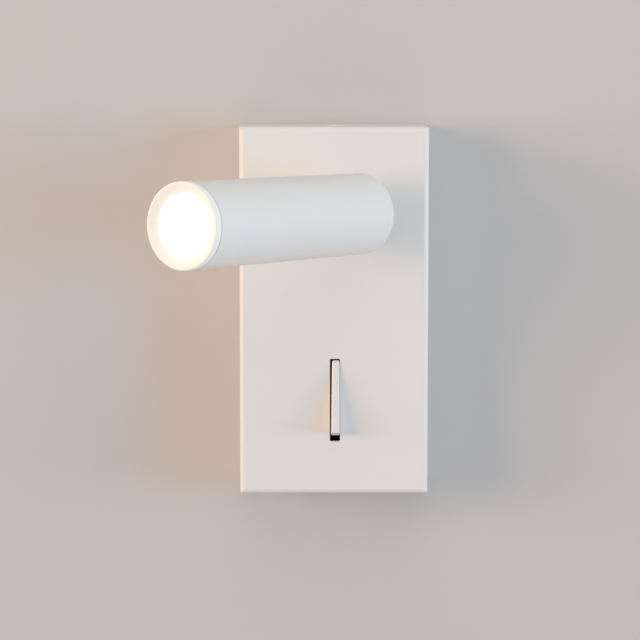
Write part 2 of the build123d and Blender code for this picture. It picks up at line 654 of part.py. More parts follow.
blade_spots = [(SLOT_FROM_MIDDLE, slot_z + side * BLADE_SPACING / 2) for side in (1, -1)]
with BuildPart() as switch_terminals:
    with BuildSketch(Plane.XZ.offset(switch_back)):
        with Locations(*blade_spots):
            Rectangle(BLADE_THICKNESS, BLADE_WIDTH)
    extrude(amount=-BLADE_LENGTH)
write(switch_terminals, "switch_terminals")

# Rocker pin through the switch body, and the lever that rocks on it
with BuildPart() as rocker_pin:
    with BuildSketch(pin_plane):
        Circle(ROCKER_PIN_RADIUS)
    extrude(amount=SWITCH_WIDTH / 2 - SWITCH_ROUNDING, both=True)
write(rocker_pin, "rocker_pin")

# The lever narrows on one side towards its top end
lever_side = Plane(
    origin=lever_plane.offset(LEVER_NARROWING / 2 - LEVER_THICKNESS / 2).origin,
    z_dir=lever_plane.z_dir * 2 * lever_half - lever_plane.x_dir * LEVER_NARROWING,
)
with BuildPart() as rocker_lever:
    with BuildSketch(lever_plane):
        with BuildLine():
            Polyline(
                (-lever_half, lever_face),
                (lever_half, lever_face),
                (lever_half, lever_heel),
                (-lever_half, lever_heel),
                close=True,
            )
        bar = make_face()
        fillet(bar.vertices().group_by(Axis.Y)[-1], LEVER_TIP_RADIUS)
        Circle(LEVER_BOSS_RADIUS)
        Circle(ROCKER_PIN_RADIUS + RUNNING_GAP, mode=Mode.SUBTRACT)
    extrude(amount=LEVER_THICKNESS / 2, both=True)
    split(bisect_by=lever_side, keep=Keep.TOP)
    lever_front = rocker_lever.faces().sort_by(Axis(rocker_pivot, lever_plane.y_dir))[-1]
    fillet(lever_front.edges().sort_by(SortBy.LENGTH)[-2:], LEVER_EDGE_RADIUS)
write(rocker_lever, "rocker_lever")

# Swivel bush: a plastic sleeve in the front wall, with a thin flange under the stem
with BuildPart() as swivel_bush:
    with BuildSketch(swivel_section):
        with BuildLine():
            Polyline(
                (SHANK_RADIUS + RUNNING_GAP, -swivel_bush_depth),
                (swivel_bush_radius, -swivel_bush_depth),
                (swivel_bush_radius, 0),
                (STEM_FLANGE_RADIUS, 0),
                (STEM_FLANGE_RADIUS, SWIVEL_BUSH_FLANGE),
                (SHANK_RADIUS + RUNNING_GAP, SWIVEL_BUSH_FLANGE),
                close=True,
            )
        make_face()
    revolve(axis=swivel_axis)
write(swivel_bush, "swivel_bush")

# Swivel stem: flange and shank turned in one, with a flat tongue that carries the head
with BuildPart() as swivel_stem:
    with BuildSketch(swivel_face.offset(SWIVEL_BUSH_FLANGE)):
        Circle(STEM_FLANGE_RADIUS)
    extrude(amount=STEM_FLANGE)
    fillet(swivel_stem.faces().sort_by(Axis.Y)[0].edges(), STEM_FLANGE_ROUNDING)
    with BuildSketch(swivel_section):
        with Locations((0, pivot_standoff / 2 + stem_flange_top / 2)):
            Rectangle(TONGUE_WIDTH, pivot_standoff - stem_flange_top)
        with Locations((0, pivot_standoff)):
            Circle(tongue_radius)
    extrude(amount=TONGUE_THICKNESS / 2, both=True)
    with BuildSketch(swivel_face.offset(SWIVEL_BUSH_FLANGE)):
        Circle(SHANK_RADIUS)
    extrude(amount=-SWIVEL_BUSH_FLANGE - swivel_bush_depth)
    with BuildSketch(swivel_face.offset(-swivel_bush_depth)):
        Circle(SHANK_RADIUS)
        Rectangle(SHANK_FLATS, 2 * SHANK_RADIUS, mode=Mode.INTERSECT)
    extrude(amount=-(shank_depth - swivel_bush_depth))
    with BuildSketch(swivel_section):
        with Locations((0, pivot_standoff)):
            Circle(STUD_RADIUS + RUNNING_GAP)
    extrude(amount=TONGUE_THICKNESS / 2, both=True, mode=Mode.SUBTRACT)
    with BuildSketch(swivel_face.offset(-shank_depth)):
        Circle(STEM_BORE_RADIUS)
    extrude(amount=shank_depth + pivot_standoff + TONGUE_WIDTH, mode=Mode.SUBTRACT)
write(swivel_stem, "swivel_stem")

# Stop washer keyed to the shank: its tab meets the post in the housing
with BuildPart() as stop_washer:
    with BuildSketch(swivel_face.offset(-swivel_bush_depth)):
        Circle(STOP_WASHER_RADIUS)
        with Locations((-tab_end / 2, 0)):
            Rectangle(tab_end, STOP_TAB_WIDTH)
        Circle(SHANK_RADIUS + PRESS_GAP, mode=Mode.SUBTRACT)
        with Locations((SHANK_RADIUS, 0), (-SHANK_RADIUS, 0)):
            Rectangle(
                2 * SHANK_RADIUS - SHANK_FLATS - 2 * PRESS_GAP,
                SHANK_RADIUS,
            )
    extrude(amount=-STOP_WASHER_THICKNESS)
write(stop_washer, "stop_washer")

# Disc spring that loads the swivel, and the nut that holds it
spring_bore = SHANK_RADIUS + PRESS_GAP
with BuildPart() as disc_spring:
    with BuildSketch(swivel_section):
        with BuildLine():
            Polyline(
                (spring_bore, -disc_spring_depth + DISC_SPRING_THICKNESS),
                (spring_bore, -disc_spring_depth),
                (DISC_SPRING_RADIUS, -stop_washer_depth - DISC_SPRING_THICKNESS),
                (DISC_SPRING_RADIUS, -stop_washer_depth),
                close=True,
            )
        make_face()
    revolve(axis=swivel_axis)
write(disc_spring, "disc_spring")

with BuildPart() as swivel_nut:
    with BuildSketch(swivel_face.offset(-disc_spring_depth)):
        RegularPolygon(NUT_ACROSS_FLATS / 2, 6, major_radius=False)
        Circle(SHANK_RADIUS + PRESS_GAP, mode=Mode.SUBTRACT)
    extrude(amount=-NUT_THICKNESS)
    nut_back = swivel_nut.faces().sort_by(Axis.Y)[-1]
    chamfer(nut_back.outer_wire().edges(), NUT_CHAMFER)
write(swivel_nut, "swivel_nut")

# Slot for the tongue, in the tube and in the block: it runs from the rear along the wall side
with BuildSketch(head_section) as tongue_slot:
    with BuildLine():
        Polyline(
            (2 * TUBE_RADIUS, slot_reach),
            (0, slot_reach),
        )
        TangentArc((0, slot_reach), (-slot_reach, 0), tangent=(-1, 0))
        Polyline(
            (-slot_reach, 0),
            (-slot_reach, 2 * tube_rear),
            (2 * TUBE_RADIUS, 2 * tube_rear),
            (2 * TUBE_RADIUS, slot_reach),
        )
    make_face()

# Head tube: turned, closed at the rear, and slotted for the tongue
block_screw_spots = [(0, side * block_screw_from_axis) for side in (1, -1)]
with BuildPart() as head_tube:
    with BuildSketch(head_plane.offset(tube_rear)):
        Circle(TUBE_RADIUS)
    extrude(amount=tube_front - tube_rear)
    fillet(head_tube.edges().sort_by(head_axis)[0], REAR_EDGE_RADIUS)
    chamfer(head_tube.edges().sort_by(head_axis)[-1], SEAM_CHAMFER)
    with BuildSketch(head_plane.offset(block_rear)):
        Circle(tube_bore)
    extrude(amount=tube_front - block_rear, mode=Mode.SUBTRACT)
    extrude(tongue_slot.sketch, amount=slot_half, both=True, mode=Mode.SUBTRACT)
    with Locations(tube_back):
        with Locations(*block_screw_spots):
            CounterSinkHole(
                SMALL_SCREW_RADIUS + PRESS_GAP,
                SMALL_SCREW_HEAD_RADIUS + PRESS_GAP,
                depth=REAR_WALL,
                counter_sink_angle=COUNTERSINK_ANGLE,
            )
write(head_tube, "head_tube")

# Pivot block inside the tube: it carries the studs either side of the tongue and lets the lead through
with BuildPart() as pivot_block:
    with BuildSketch(head_plane.offset(block_rear)):
        Circle(fit_radius)
    extrude(amount=BLOCK_AHEAD_OF_PIVOT - block_rear)
    extrude(tongue_slot.sketch, amount=slot_half, both=True, mode=Mode.SUBTRACT)
    with BuildSketch(head_section):
        Circle(STUD_RADIUS + PRESS_GAP)
    extrude(amount=TUBE_RADIUS, both=True, mode=Mode.SUBTRACT)
    with BuildSketch(head_plane):
        Circle(BLOCK_WIRE_RADIUS)
    extrude(amount=BLOCK_AHEAD_OF_PIVOT, mode=Mode.SUBTRACT)
    with BuildSketch(head_plane.offset(block_rear)):
        with Locations(*block_screw_spots):
            Circle(SMALL_SCREW_RADIUS + PRESS_GAP)
    extrude(amount=BLOCK_SCREW_LENGTH, mode=Mode.SUBTRACT)
write(pivot_block, "pivot_block")

# Screws that hold the block to the tube's rear wall, level with its outside
block_head_drop = SMALL_SCREW_HEAD_RADIUS - SMALL_SCREW_RADIUS
with BuildPart() as block_screws:
    with BuildSketch(head_plane.offset(tube_rear)):
        with Locations(*block_screw_spots):
            Circle(SMALL_SCREW_RADIUS)
    extrude(amount=BLOCK_SCREW_LENGTH)
    with BuildSketch(head_plane.offset(tube_rear)):
        with Locations(*block_screw_spots):
            Circle(SMALL_SCREW_HEAD_RADIUS)
    extrude(amount=block_head_drop, taper=COUNTERSINK_ANGLE / 2)
write(block_screws, "block_screws")

# Studs that the tongue turns on, one from each side, with the lead passing between them
stud_inner = STEM_BORE_RADIUS
with BuildPart() as pivot_studs:
    with BuildSketch(head_section.offset(stud_inner)):
        Circle(STUD_RADIUS)
    extrude(amount=sqrt(fit_radius**2 - STUD_RADIUS**2) - stud_inner)
    mirror(about=head_section)
write(pivot_studs, "pivot_studs")

with BuildPart() as friction_washers:
    with BuildSketch(head_section.offset(slot_half - FRICTION_WASHER_THICKNESS)):
        Circle(FRICTION_WASHER_RADIUS)
        Circle(STUD_RADIUS + PRESS_GAP, mode=Mode.SUBTRACT)
    extrude(amount=FRICTION_WASHER_THICKNESS)
    mirror(about=head_section)
write(friction_washers, "friction_washers")

# Bezel: a ring with a spigot in the tube, and a cone that leads in to the lens
bezel_mouth = TUBE_RADIUS - BEZEL_RIM
spigot_back = tube_front - BEZEL_SPIGOT_LENGTH
with BuildPart() as front_bezel:
    with BuildSketch(head_section):
        with BuildLine():
            Polyline(
                (fit_radius, spigot_back),
                (fit_radius, tube_front),
                (TUBE_RADIUS, tube_front),
                (TUBE_RADIUS, front_end),
                (bezel_mouth, front_end),
                (lens_aperture, lens_front),
                (lens_aperture, lip_back),
                (spigot_inside, lip_back),
                (spigot_inside, spigot_back),
                close=True,
            )
        make_face()
    revolve(axis=head_axis)
    rim_edges = front_bezel.edges().filter_by(GeomType.CIRCLE).sort_by(SortBy.RADIUS)[-2:]
    rear_rim, front_rim = rim_edges.sort_by(head_axis)
    fillet(front_rim, BEZEL_EDGE_RADIUS)
    chamfer(rear_rim, SEAM_CHAMFER)
write(front_bezel, "front_bezel")

# Lens: a frosted disc with a flange behind the bezel's lip and a slightly crowned front
with BuildPart() as front_lens:
    with BuildSketch(head_section):
        with BuildLine():
            Polyline(
                (0, lens_front),
                (0, lens_back),
                (lens_flange_radius, lens_back),
                (lens_flange_radius, lip_back),
                (lens_aperture - LENS_GAP, lip_back),
                (lens_aperture - LENS_GAP, lens_front - LENS_CROWN),
            )
            TangentArc((0, lens_front), (lens_aperture - LENS_GAP, lens_front - LENS_CROWN), tangent=(1, 0))
        make_face()
    revolve(axis=head_axis)
write(front_lens, "front_lens")

with BuildPart() as lens_gasket:
    with BuildSketch(head_plane.offset(gasket_back)):
        Circle(lens_flange_radius)
        Circle(lens_aperture, mode=Mode.SUBTRACT)
    extrude(amount=GASKET_THICKNESS)
write(lens_gasket, "lens_gasket")

# Reflector: a thin cone on the lamp board, with a rim that carries the gasket
with BuildPart() as reflector:
    with BuildSketch(head_section):
        with BuildLine():
            Polyline(
                (reflector_outside - REFLECTOR_WALL, board_front),
                (reflector_outside, board_front),
                (lens_aperture + REFLECTOR_WALL, gasket_back - REFLECTOR_RIM),
                (lens_flange_radius, gasket_back - REFLECTOR_RIM),
                (lens_flange_radius, gasket_back),
                (lens_aperture, gasket_back),
                close=True,
            )
        make_face()
    revolve(axis=head_axis)
write(reflector, "reflector")

# Lamp board, its chip and its screws, on the face of the heat sink
board_screw_spots = [(0, side * board_screw_from_axis) for side in (1, -1)]
with BuildPart() as led_board:
    with BuildSketch(head_plane.offset(board_back)):
        Circle(led_board_radius)
        with Locations(*board_screw_spots):
            Circle(BOARD_SCREW_RADIUS + PRESS_GAP, mode=Mode.SUBTRACT)
    extrude(amount=LED_BOARD_THICKNESS)
write(led_board, "led_board")

with BuildPart() as led_chip:
    with BuildSketch(head_plane.offset(board_front)):
        Rectangle(CHIP_SIZE, CHIP_SIZE)
    extrude(amount=CHIP_THICKNESS)
    with BuildSketch(head_plane.offset(board_front + CHIP_THICKNESS)):
        Circle(CHIP_DOME_RADIUS)
    extrude(amount=CHIP_DOME_RISE, taper=COUNTERSINK_ANGLE / 2)
write(led_chip, "led_chip")

with BuildPart() as board_screws:
    with BuildSketch(head_plane.offset(board_front)):
        with Locations(*board_screw_spots):
            Circle(BOARD_SCREW_HEAD_RADIUS)
    extrude(amount=BOARD_SCREW_HEAD_HEIGHT)
    with BuildSketch(head_plane.offset(board_front)):
        with Locations(*board_screw_spots):
            Circle(BOARD_SCREW_RADIUS)
    extrude(amount=-BOARD_SCREW_LENGTH)
write(board_screws, "board_screws")

with BuildPart() as heat_sink:
    with BuildSketch(head_plane.offset(sink_rear)):
        Circle(fit_radius)
    extrude(amount=HEAT_SINK_LENGTH)
    with BuildSketch(head_plane.offset(sink_rear)):
        with PolarLocations((fit_radius + FIN_ROOT_RADIUS) / 2, HEAT_SINK_FINS):
            Rectangle(fit_radius - FIN_ROOT_RADIUS, FIN_GAP)
        with PolarLocations(fit_radius, HEAT_SINK_FINS):
            Rectangle(FIN_GAP, FIN_GAP)
    extrude(amount=HEAT_SINK_LENGTH - HEAT_SINK_FACE, mode=Mode.SUBTRACT)
    with BuildSketch(head_plane.offset(sink_rear)):
        Circle(SINK_BORE_RADIUS)
    extrude(amount=HEAT_SINK_LENGTH, mode=Mode.SUBTRACT)
    with BuildSketch(head_plane.offset(board_back)):
        with Locations(*board_screw_spots):
            Circle(BOARD_SCREW_RADIUS + PRESS_GAP)
    extrude(amount=-BOARD_SCREW_LENGTH, mode=Mode.SUBTRACT)
write(heat_sink, "heat_sink")

# Mains leads: terminals to switch, switch to driver, terminals to driver, terminals to earth
terminal_foot = terminal_middle[1] - TERMINAL_HEIGHT / 2
blade_middle = switch_back - BLADE_LENGTH / 2
lead_drop = [terminal_foot - LEAD_BEND - (turn + 1) * LEAD_PITCH for turn in range(TERMINAL_WAYS)]
live_lead = lead(
    [
        (terminal_x[2], -wire_depth, terminal_foot),
        (terminal_x[2], -wire_depth, lead_drop[0]),
        (SLOT_FROM_MIDDLE, -blade_middle, lead_drop[0]),
        (SLOT_FROM_MIDDLE, -blade_middle, blade_spots[1][1] - BLADE_WIDTH / 2),
    ],
    MAINS_LEAD_RADIUS,
    LEAD_BEND,
)
write(live_lead, "live_lead")

neutral_lead = lead(
    [
        (terminal_x[1], -wire_depth, terminal_foot),
        (terminal_x[1], -wire_depth, lead_drop[1]),
        (NEUTRAL_LEAD_X, -blade_middle, lead_drop[1]),
        (NEUTRAL_LEAD_X, -blade_middle, driver_foot),
    ],
    MAINS_LEAD_RADIUS,
    LEAD_BEND,
)
write(neutral_lead, "neutral_lead")

earth_lead = lead(
    [
        (terminal_x[0], -wire_depth, terminal_foot),
        (terminal_x[0], -wire_depth, lead_drop[2]),
        (earth_x, -barrel_depth, lead_drop[2]),
        (earth_x, -barrel_depth, barrel_top - EARTH_BARREL_LENGTH),
    ],
    MAINS_LEAD_RADIUS,
    LEAD_BEND,
)
write(earth_lead, "earth_lead")

with BuildPart() as switched_lead:
    with BuildSketch(Plane.XY.offset(driver_foot)):
        with Locations((SLOT_FROM_MIDDLE, -blade_middle)):
            Circle(MAINS_LEAD_RADIUS)
    extrude(amount=blade_spots[0][1] + BLADE_WIDTH / 2 - driver_foot)
write(switched_lead, "switched_lead")

# Lamp lead in three spans: driver to swivel, along the stem, and along the head to the lamp board
shank_end = HOUSING_DEPTH - shank_depth
output_lead = lead(
    [
        (OUTPUT_LEAD_X, -OUTPUT_LEAD_FROM_WALL, driver_top),
        (OUTPUT_LEAD_X, -OUTPUT_LEAD_FROM_WALL, driver_top + OUTPUT_LEAD_RISE),
        (OUTPUT_LEAD_X, -OUTPUT_BEND_FROM_WALL, swivel_z - OUTPUT_BEND_BELOW_SWIVEL),
        (0, -OUTPUT_BEND_FROM_WALL, swivel_z),
        (0, -shank_end + SEAT_GAP, swivel_z),
    ],
    LAMP_LEAD_RADIUS,
    LAMP_LEAD_BEND,
)
write(output_lead, "output_lead")

with BuildPart() as stem_lead:
    with BuildSketch(swivel_face.offset(-shank_depth)):
        Circle(LAMP_LEAD_RADIUS)
    extrude(amount=shank_depth + pivot_standoff + tongue_radius - SWING_GAP)
write(stem_lead, "stem_lead")

with BuildPart() as head_lead:
    with BuildSketch(head_plane.offset(slot_reach)):
        Circle(LAMP_LEAD_RADIUS)
    extrude(amount=board_back - slot_reach)
write(head_lead, "head_lead")
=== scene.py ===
import json
import logging
from dataclasses import dataclass, field
from enum import Enum
from math import radians

import bmesh
import bpy
import numpy as np
from mathutils import Euler, Matrix, Vector


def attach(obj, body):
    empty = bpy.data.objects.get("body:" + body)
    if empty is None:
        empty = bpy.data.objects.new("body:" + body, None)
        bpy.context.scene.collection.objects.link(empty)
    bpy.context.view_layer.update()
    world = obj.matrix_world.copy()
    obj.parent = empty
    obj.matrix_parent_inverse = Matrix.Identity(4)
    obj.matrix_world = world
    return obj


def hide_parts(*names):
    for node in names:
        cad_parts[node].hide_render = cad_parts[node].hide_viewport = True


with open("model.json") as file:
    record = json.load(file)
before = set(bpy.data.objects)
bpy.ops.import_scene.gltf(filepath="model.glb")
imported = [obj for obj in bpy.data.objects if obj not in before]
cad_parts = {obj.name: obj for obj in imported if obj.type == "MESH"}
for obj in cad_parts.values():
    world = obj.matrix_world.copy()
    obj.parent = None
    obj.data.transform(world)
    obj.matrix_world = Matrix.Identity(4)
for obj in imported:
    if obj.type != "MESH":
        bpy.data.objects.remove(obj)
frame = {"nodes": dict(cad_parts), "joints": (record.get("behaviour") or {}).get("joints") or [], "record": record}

LOG = logging.getLogger("reading_light")
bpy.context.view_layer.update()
MM = 0.001

Colour = tuple[float, float, float]
Shell = tuple[np.ndarray, np.ndarray]
Socket = bpy.types.NodeSocket
Value = Socket | float | tuple
# A noise's cells per metre and octaves, a relief's strength and depth, or the two ends of a span
Pair = tuple[float, float]
UNLIT = (0.0, 0.0, 0.0)

JOINTS = {joint["name"]: joint for joint in frame["joints"]}
SLOTS = {subpart["node"]: subpart["material_slot"] for subpart in frame["record"]["subparts"]}
RIGHT = np.array([1.0, 0.0, 0.0])
INWARD = np.array([0.0, 1.0, 0.0])
UP = np.array([0.0, 0.0, 1.0])


class Body(Enum):
    """The bodies that new pieces ride on."""

    BASE = "base"
    HEAD = "head"


class HeadStyle(Enum):
    """How a screw's head is shaped."""

    COUNTERSUNK = "countersunk"
    PAN = "pan"
    GRUB = "grub"


class Facing(Enum):
    """Which way a screw's head faces along its frame."""

    ALONG = 1
    AGAINST = -1


class Row(Enum):
    """The axis that a row of screws runs along, seen from the front."""

    ACROSS = 0
    UPRIGHT = 1


class Drive(Enum):
    """What a screwdriver fits in a screw's head."""

    CROSS = "cross"
    SLOT = "slot"


class Owner(Enum):
    """What nodes belong to: Blender's list of such things, and the type of their output node."""

    MATERIAL = ("materials", "ShaderNodeOutputMaterial")
    WORLD = ("worlds", "ShaderNodeOutputWorld")


@dataclass(frozen=True)
class Place:
    """A local frame in the row frame: an origin, a direction to point along, and a direction to the side."""

    origin: np.ndarray
    along: np.ndarray
    side: np.ndarray

    def axes(self) -> np.ndarray:
        """Returns the three axes as rows: side, up and along."""
        return np.stack([self.side, np.cross(self.along, self.side), self.along])

    def points(self, local: np.ndarray) -> np.ndarray:
        """Returns points of the local frame, one row each, in the row frame."""
        return self.origin + local @ self.axes()

    def local(self, points: np.ndarray) -> np.ndarray:
        """Returns points of the row frame, one row each, in the local frame."""
        return (points - self.origin) @ self.axes().T

    def euler(self) -> Euler:
        """Returns the turn from the row frame to the local frame, for a Mapping node."""
        return Matrix(self.axes().T.tolist()).to_euler()


ROW_PLACE = Place(np.zeros(3), UP, RIGHT)


def joint_place(name: str, along: np.ndarray) -> Place:
    """The local frame of a joint: its pivot, a direction square to its axis, and one square to both.

    Args:
        name: The joint's name.
        along: The direction to point along.

    Returns:
        The frame at rest.
    """
    return Place(np.array(JOINTS[name]["pos_m"]), along, np.cross(along, JOINTS[name]["axis"]))


def resting_tube() -> np.ndarray:
    """The way the spot's tube points at rest.

    At the tilt joint's upper limit it points straight out of the wall, so it is turned back from there.

    Returns:
        The direction, of length 1.
    """
    joint = JOINTS["head_tilt"]
    back = Matrix.Rotation(radians(-joint["range_deg"][1]), 3, Vector(joint["axis"]))
    return np.array(back @ Vector(-INWARD))


HEAD_PLACE = joint_place("head_tilt", resting_tube())
SWIVEL_PLACE = Place(np.array(JOINTS["head_swivel"]["pos_m"]), -INWARD, RIGHT)


def extent(node: str, place: Place = ROW_PLACE) -> tuple[np.ndarray, np.ndarray]:
    """Measures a node in a local frame.

    Args:
        node: The node's name.
        place: The frame to measure in.

    Returns:
        The lowest and the highest corner.
    """
    mesh = frame["nodes"][node].data
    flat = np.empty(3 * len(mesh.vertices), dtype=np.float32)
    mesh.vertices.foreach_get("co", flat)
    local = place.local(flat.reshape(-1, 3).astype(float))
    return local.min(axis=0), local.max(axis=0)


def step(values: np.ndarray, width: float) -> np.ndarray:
    """A soft step: 0 below zero, 1 above the width, and a cubic blend between.

    Args:
        values: Signed distances.
        width: Length of the blend.

    Returns:
        The blend at each distance.
    """
    share = np.clip(values / width, 0.0, 1.0)
    return share * share * (3.0 - 2.0 * share)


def grid_faces(rows: int, columns: int, closed: bool) -> np.ndarray:
    """Quads over a grid of vertices that is stored row after row.

    Args:
        rows: Vertices along the first parameter.
        columns: Vertices along the second parameter.
        closed: Whether the last column joins the first.

    Returns:
        One row of four vertex numbers for each quad.
    """
    spans = columns if closed else columns - 1
    first = np.arange(rows - 1)[:, None] * columns
    here = np.arange(spans)[None, :]
    beside = (here + 1) % columns
    quads = [first + here, first + beside, first + columns + beside, first + columns + here]
    return np.stack(quads, axis=-1).reshape(-1, 4)


def tidy_mesh(mesh: bpy.types.Mesh, merge: float = 1e-7) -> None:
    """Merges the doubled points of poles and seams, drops flat faces and points the rest outwards.

    Args:
        mesh: The mesh to tidy in place.
        merge: Points closer than this become one.
    """
    work = bmesh.new()
    work.from_mesh(mesh)
    bmesh.ops.remove_doubles(work, verts=work.verts, dist=merge)
    bmesh.ops.dissolve_degenerate(work, edges=work.edges, dist=merge)
    bmesh.ops.recalc_face_normals(work, faces=work.faces)
    work.to_mesh(mesh)
    work.free()


def surface_piece(name: str, shells: list[Shell], crease: float = 32.0) -> bpy.types.Object:
    """Puts closed grids of points into one mesh object.

    Args:
        name: The piece's name.
        shells: Vertices and quads of each closed shell, in the row frame.
        crease: Angle in degrees past which an edge stays sharp.

    Returns:
        The new object, at the origin.
    """
    starts = np.cumsum([0] + [len(vertices) for vertices, _ in shells])
    vertices = np.concatenate([vertices for vertices, _ in shells])
    faces = np.concatenate([quads + start for (_, quads), start in zip(shells, starts)])
    mesh = bpy.data.meshes.new(name)
    mesh.from_pydata(vertices.tolist(), [], faces.tolist())
    tidy_mesh(mesh)
    mesh.polygons.foreach_set("use_smooth", np.ones(len(mesh.polygons), dtype=bool))
    mesh.set_sharp_from_angle(angle=radians(crease))
    mesh.update()
    piece = bpy.data.objects.new(name, mesh)
    bpy.context.scene.collection.objects.link(piece)
    return piece


def darker(colour: Colour, share: float) -> Colour:
    """Returns a colour with each part multiplied by the share."""
    return tuple(part * share for part in colour)


class Graph:
    """The nodes of a material or of the world, with short calls for those that the finishes share."""

    def __init__(self, name: str, owner: Owner = Owner.MATERIAL) -> None:
        """Starts a material or a world of that name, with nothing but an output.

        Args:
            name: The name to give it.
            owner: Which of the two it is.
        """
        kinds, output = owner.value
        self.owner = getattr(bpy.data, kinds).new(name)
        self.owner.use_nodes = True
        self.tree = self.owner.node_tree
        self.tree.nodes.clear()
        self.output = self.add(output)

    def add(self, kind: str, **sockets: Value) -> bpy.types.Node:
        """Adds a node and sets or links its inputs.

        Args:
            kind: Blender's type name of the node.
            **sockets: Inputs by name, with underscores for spaces: a socket is linked, a value is set.

        Returns:
            The new node.
        """
        node = self.tree.nodes.new(kind)
        for name, value in sockets.items():
            self.put(node.inputs[name.replace("_", " ")], value)
        return node

    def put(self, target: Socket, value: Value) -> None:
        """Links a socket to an input, or sets the input to a value.

        Args:
            target: The input.
            value: A socket, a number, or three numbers for a colour or a vector.
        """
        if isinstance(value, bpy.types.NodeSocket):
            self.tree.links.new(value, target)
        elif target.type == "RGBA":
            target.default_value = (*value, 1.0)
        else:
            target.default_value = value

    def place(self, place: Place = ROW_PLACE) -> Socket:
        """Object coordinates, turned into a piece's own frame.

        Args:
            place: The frame that the pattern follows.

        Returns:
            The coordinates' socket.
        """
        coordinates = self.add("ShaderNodeTexCoord").outputs["Object"]
        if place is ROW_PLACE:
            return coordinates
        mapping = self.add("ShaderNodeMapping", Vector=coordinates)
        mapping.vector_type = "TEXTURE"
        mapping.inputs["Location"].default_value = place.origin.tolist()
        mapping.inputs["Rotation"].default_value = place.euler()
        return mapping.outputs["Vector"]

    def stretch(self, vector: Socket, scale: tuple[float, float, float]) -> Socket:
        """Scales coordinates, so that a pattern runs in streaks or rings.

        Args:
            vector: The coordinates.
            scale: The factor along each axis.

        Returns:
            The scaled coordinates.
        """
        node = self.add("ShaderNodeVectorMath", Vector=vector)
        node.operation = "MULTIPLY"
        node.inputs[1].default_value = scale
        return node.outputs["Vector"]

    def from_axis(self, place: Place) -> Socket:
        """Distance from the axis that a place points along.

        Args:
            place: The frame with that axis.

        Returns:
            The distance in metres.
        """
        node = self.add("ShaderNodeVectorMath", Vector=self.stretch(self.place(place), (1.0, 1.0, 0.0)))
        node.operation = "LENGTH"
        return node.outputs["Value"]

    def noise(self, vector: Socket, scale: float, detail: float) -> Socket:
        """Cloud noise.

        Args:
            vector: The coordinates, in metres.
            scale: Cells per metre.
            detail: Octaves of finer noise.

        Returns:
            A value from 0 to 1.
        """
        return self.add("ShaderNodeTexNoise", Vector=vector, Scale=scale, Detail=detail).outputs["Fac"]

    def range(self, value: Socket, low: float, high: float, start: float = 0.3, end: float = 0.7) -> Socket:
        """Spreads a value over a range.

        Args:
            value: The value to spread.
            low: What the start becomes.
            high: What the end becomes.
            start: The value that becomes low.
            end: The value that becomes high.

        Returns:
            The spread value.
        """
        node = self.add(
            "ShaderNodeMapRange", Value=value, From_Min=start, From_Max=end, To_Min=low, To_Max=high
        )
        return node.outputs["Result"]

    def math(self, operation: str, first: Value, second: Value = 0.0) -> Socket:
        """One step of arithmetic.

        Args:
            operation: Blender's name of the operation.
            first: The first number or socket.
            second: The second number or socket.

        Returns:
            The result's socket.
        """
        node = self.add("ShaderNodeMath")
        node.operation = operation
        self.put(node.inputs[0], first)
        self.put(node.inputs[1], second)
        return node.outputs["Value"]

    def tint(self, share: Socket, first: Value, second: Value) -> Socket:
        """Mixes two colours.

        Args:
            share: How much of the second colour.
            first: A colour or a colour socket.
            second: A colour or a colour socket.

        Returns:
            The mixed colour.
        """
        node = self.add("ShaderNodeMix")
        node.data_type = "RGBA"
        self.put(node.inputs[0], share)
        self.put(node.inputs[6], first)
        self.put(node.inputs[7], second)
        return node.outputs[2]

    def drift(
        self, cloud: Socket, colour: Colour, low_tone: float, start: float = 0.3, end: float = 0.7
    ) -> Socket:
        """Lets a colour drift with a noise.

        Args:
            cloud: The noise.
            colour: The colour at its brightest.
            low_tone: Share of the colour at its darkest.
            start: The noise that gives the darkest.
            end: The noise that gives the brightest.

        Returns:
            The drifting colour.
        """
        return self.tint(self.range(cloud, 0.0, 1.0, start, end), darker(colour, low_tone), colour)

    def bump(self, height: Socket, strength: float, distance: float, under: Socket | None = None) -> Socket:
        """A relief that only the shading shows.

        Args:
            height: The relief, from 0 to 1.
            strength: How much of it shows.
            distance: Its depth in metres.
            under: A coarser relief that it lies on.

        Returns:
            The bent normal.
        """
        node = self.add("ShaderNodeBump", Height=height, Strength=strength, Distance=distance)
        if under is not None:
            self.put(node.inputs["Normal"], under)
        return node.outputs["Normal"]

    def finish(self, **sockets: Value) -> bpy.types.Material:
        """Ends the material with a principled shader.

        Args:
            **sockets: The shader's inputs by name.

        Returns:
            The finished material.
        """
        shader = self.add("ShaderNodeBsdfPrincipled", **sockets)
        self.put(self.output.inputs["Surface"], shader.outputs["BSDF"])
        return self.owner

    def blend(self, share: Socket, first: bpy.types.Node, second: bpy.types.Node) -> None:
        """Ends the nodes with a mix of two shaders.

        Args:
            share: How much of the second shader.
            first: The first shader.
            second: The second shader.
        """
        mix = self.add("ShaderNodeMixShader", Fac=share)
        self.put(mix.inputs[1], first.outputs[0])
        self.put(mix.inputs[2], second.outputs[0])
        self.put(self.output.inputs["Surface"], mix.outputs["Shader"])


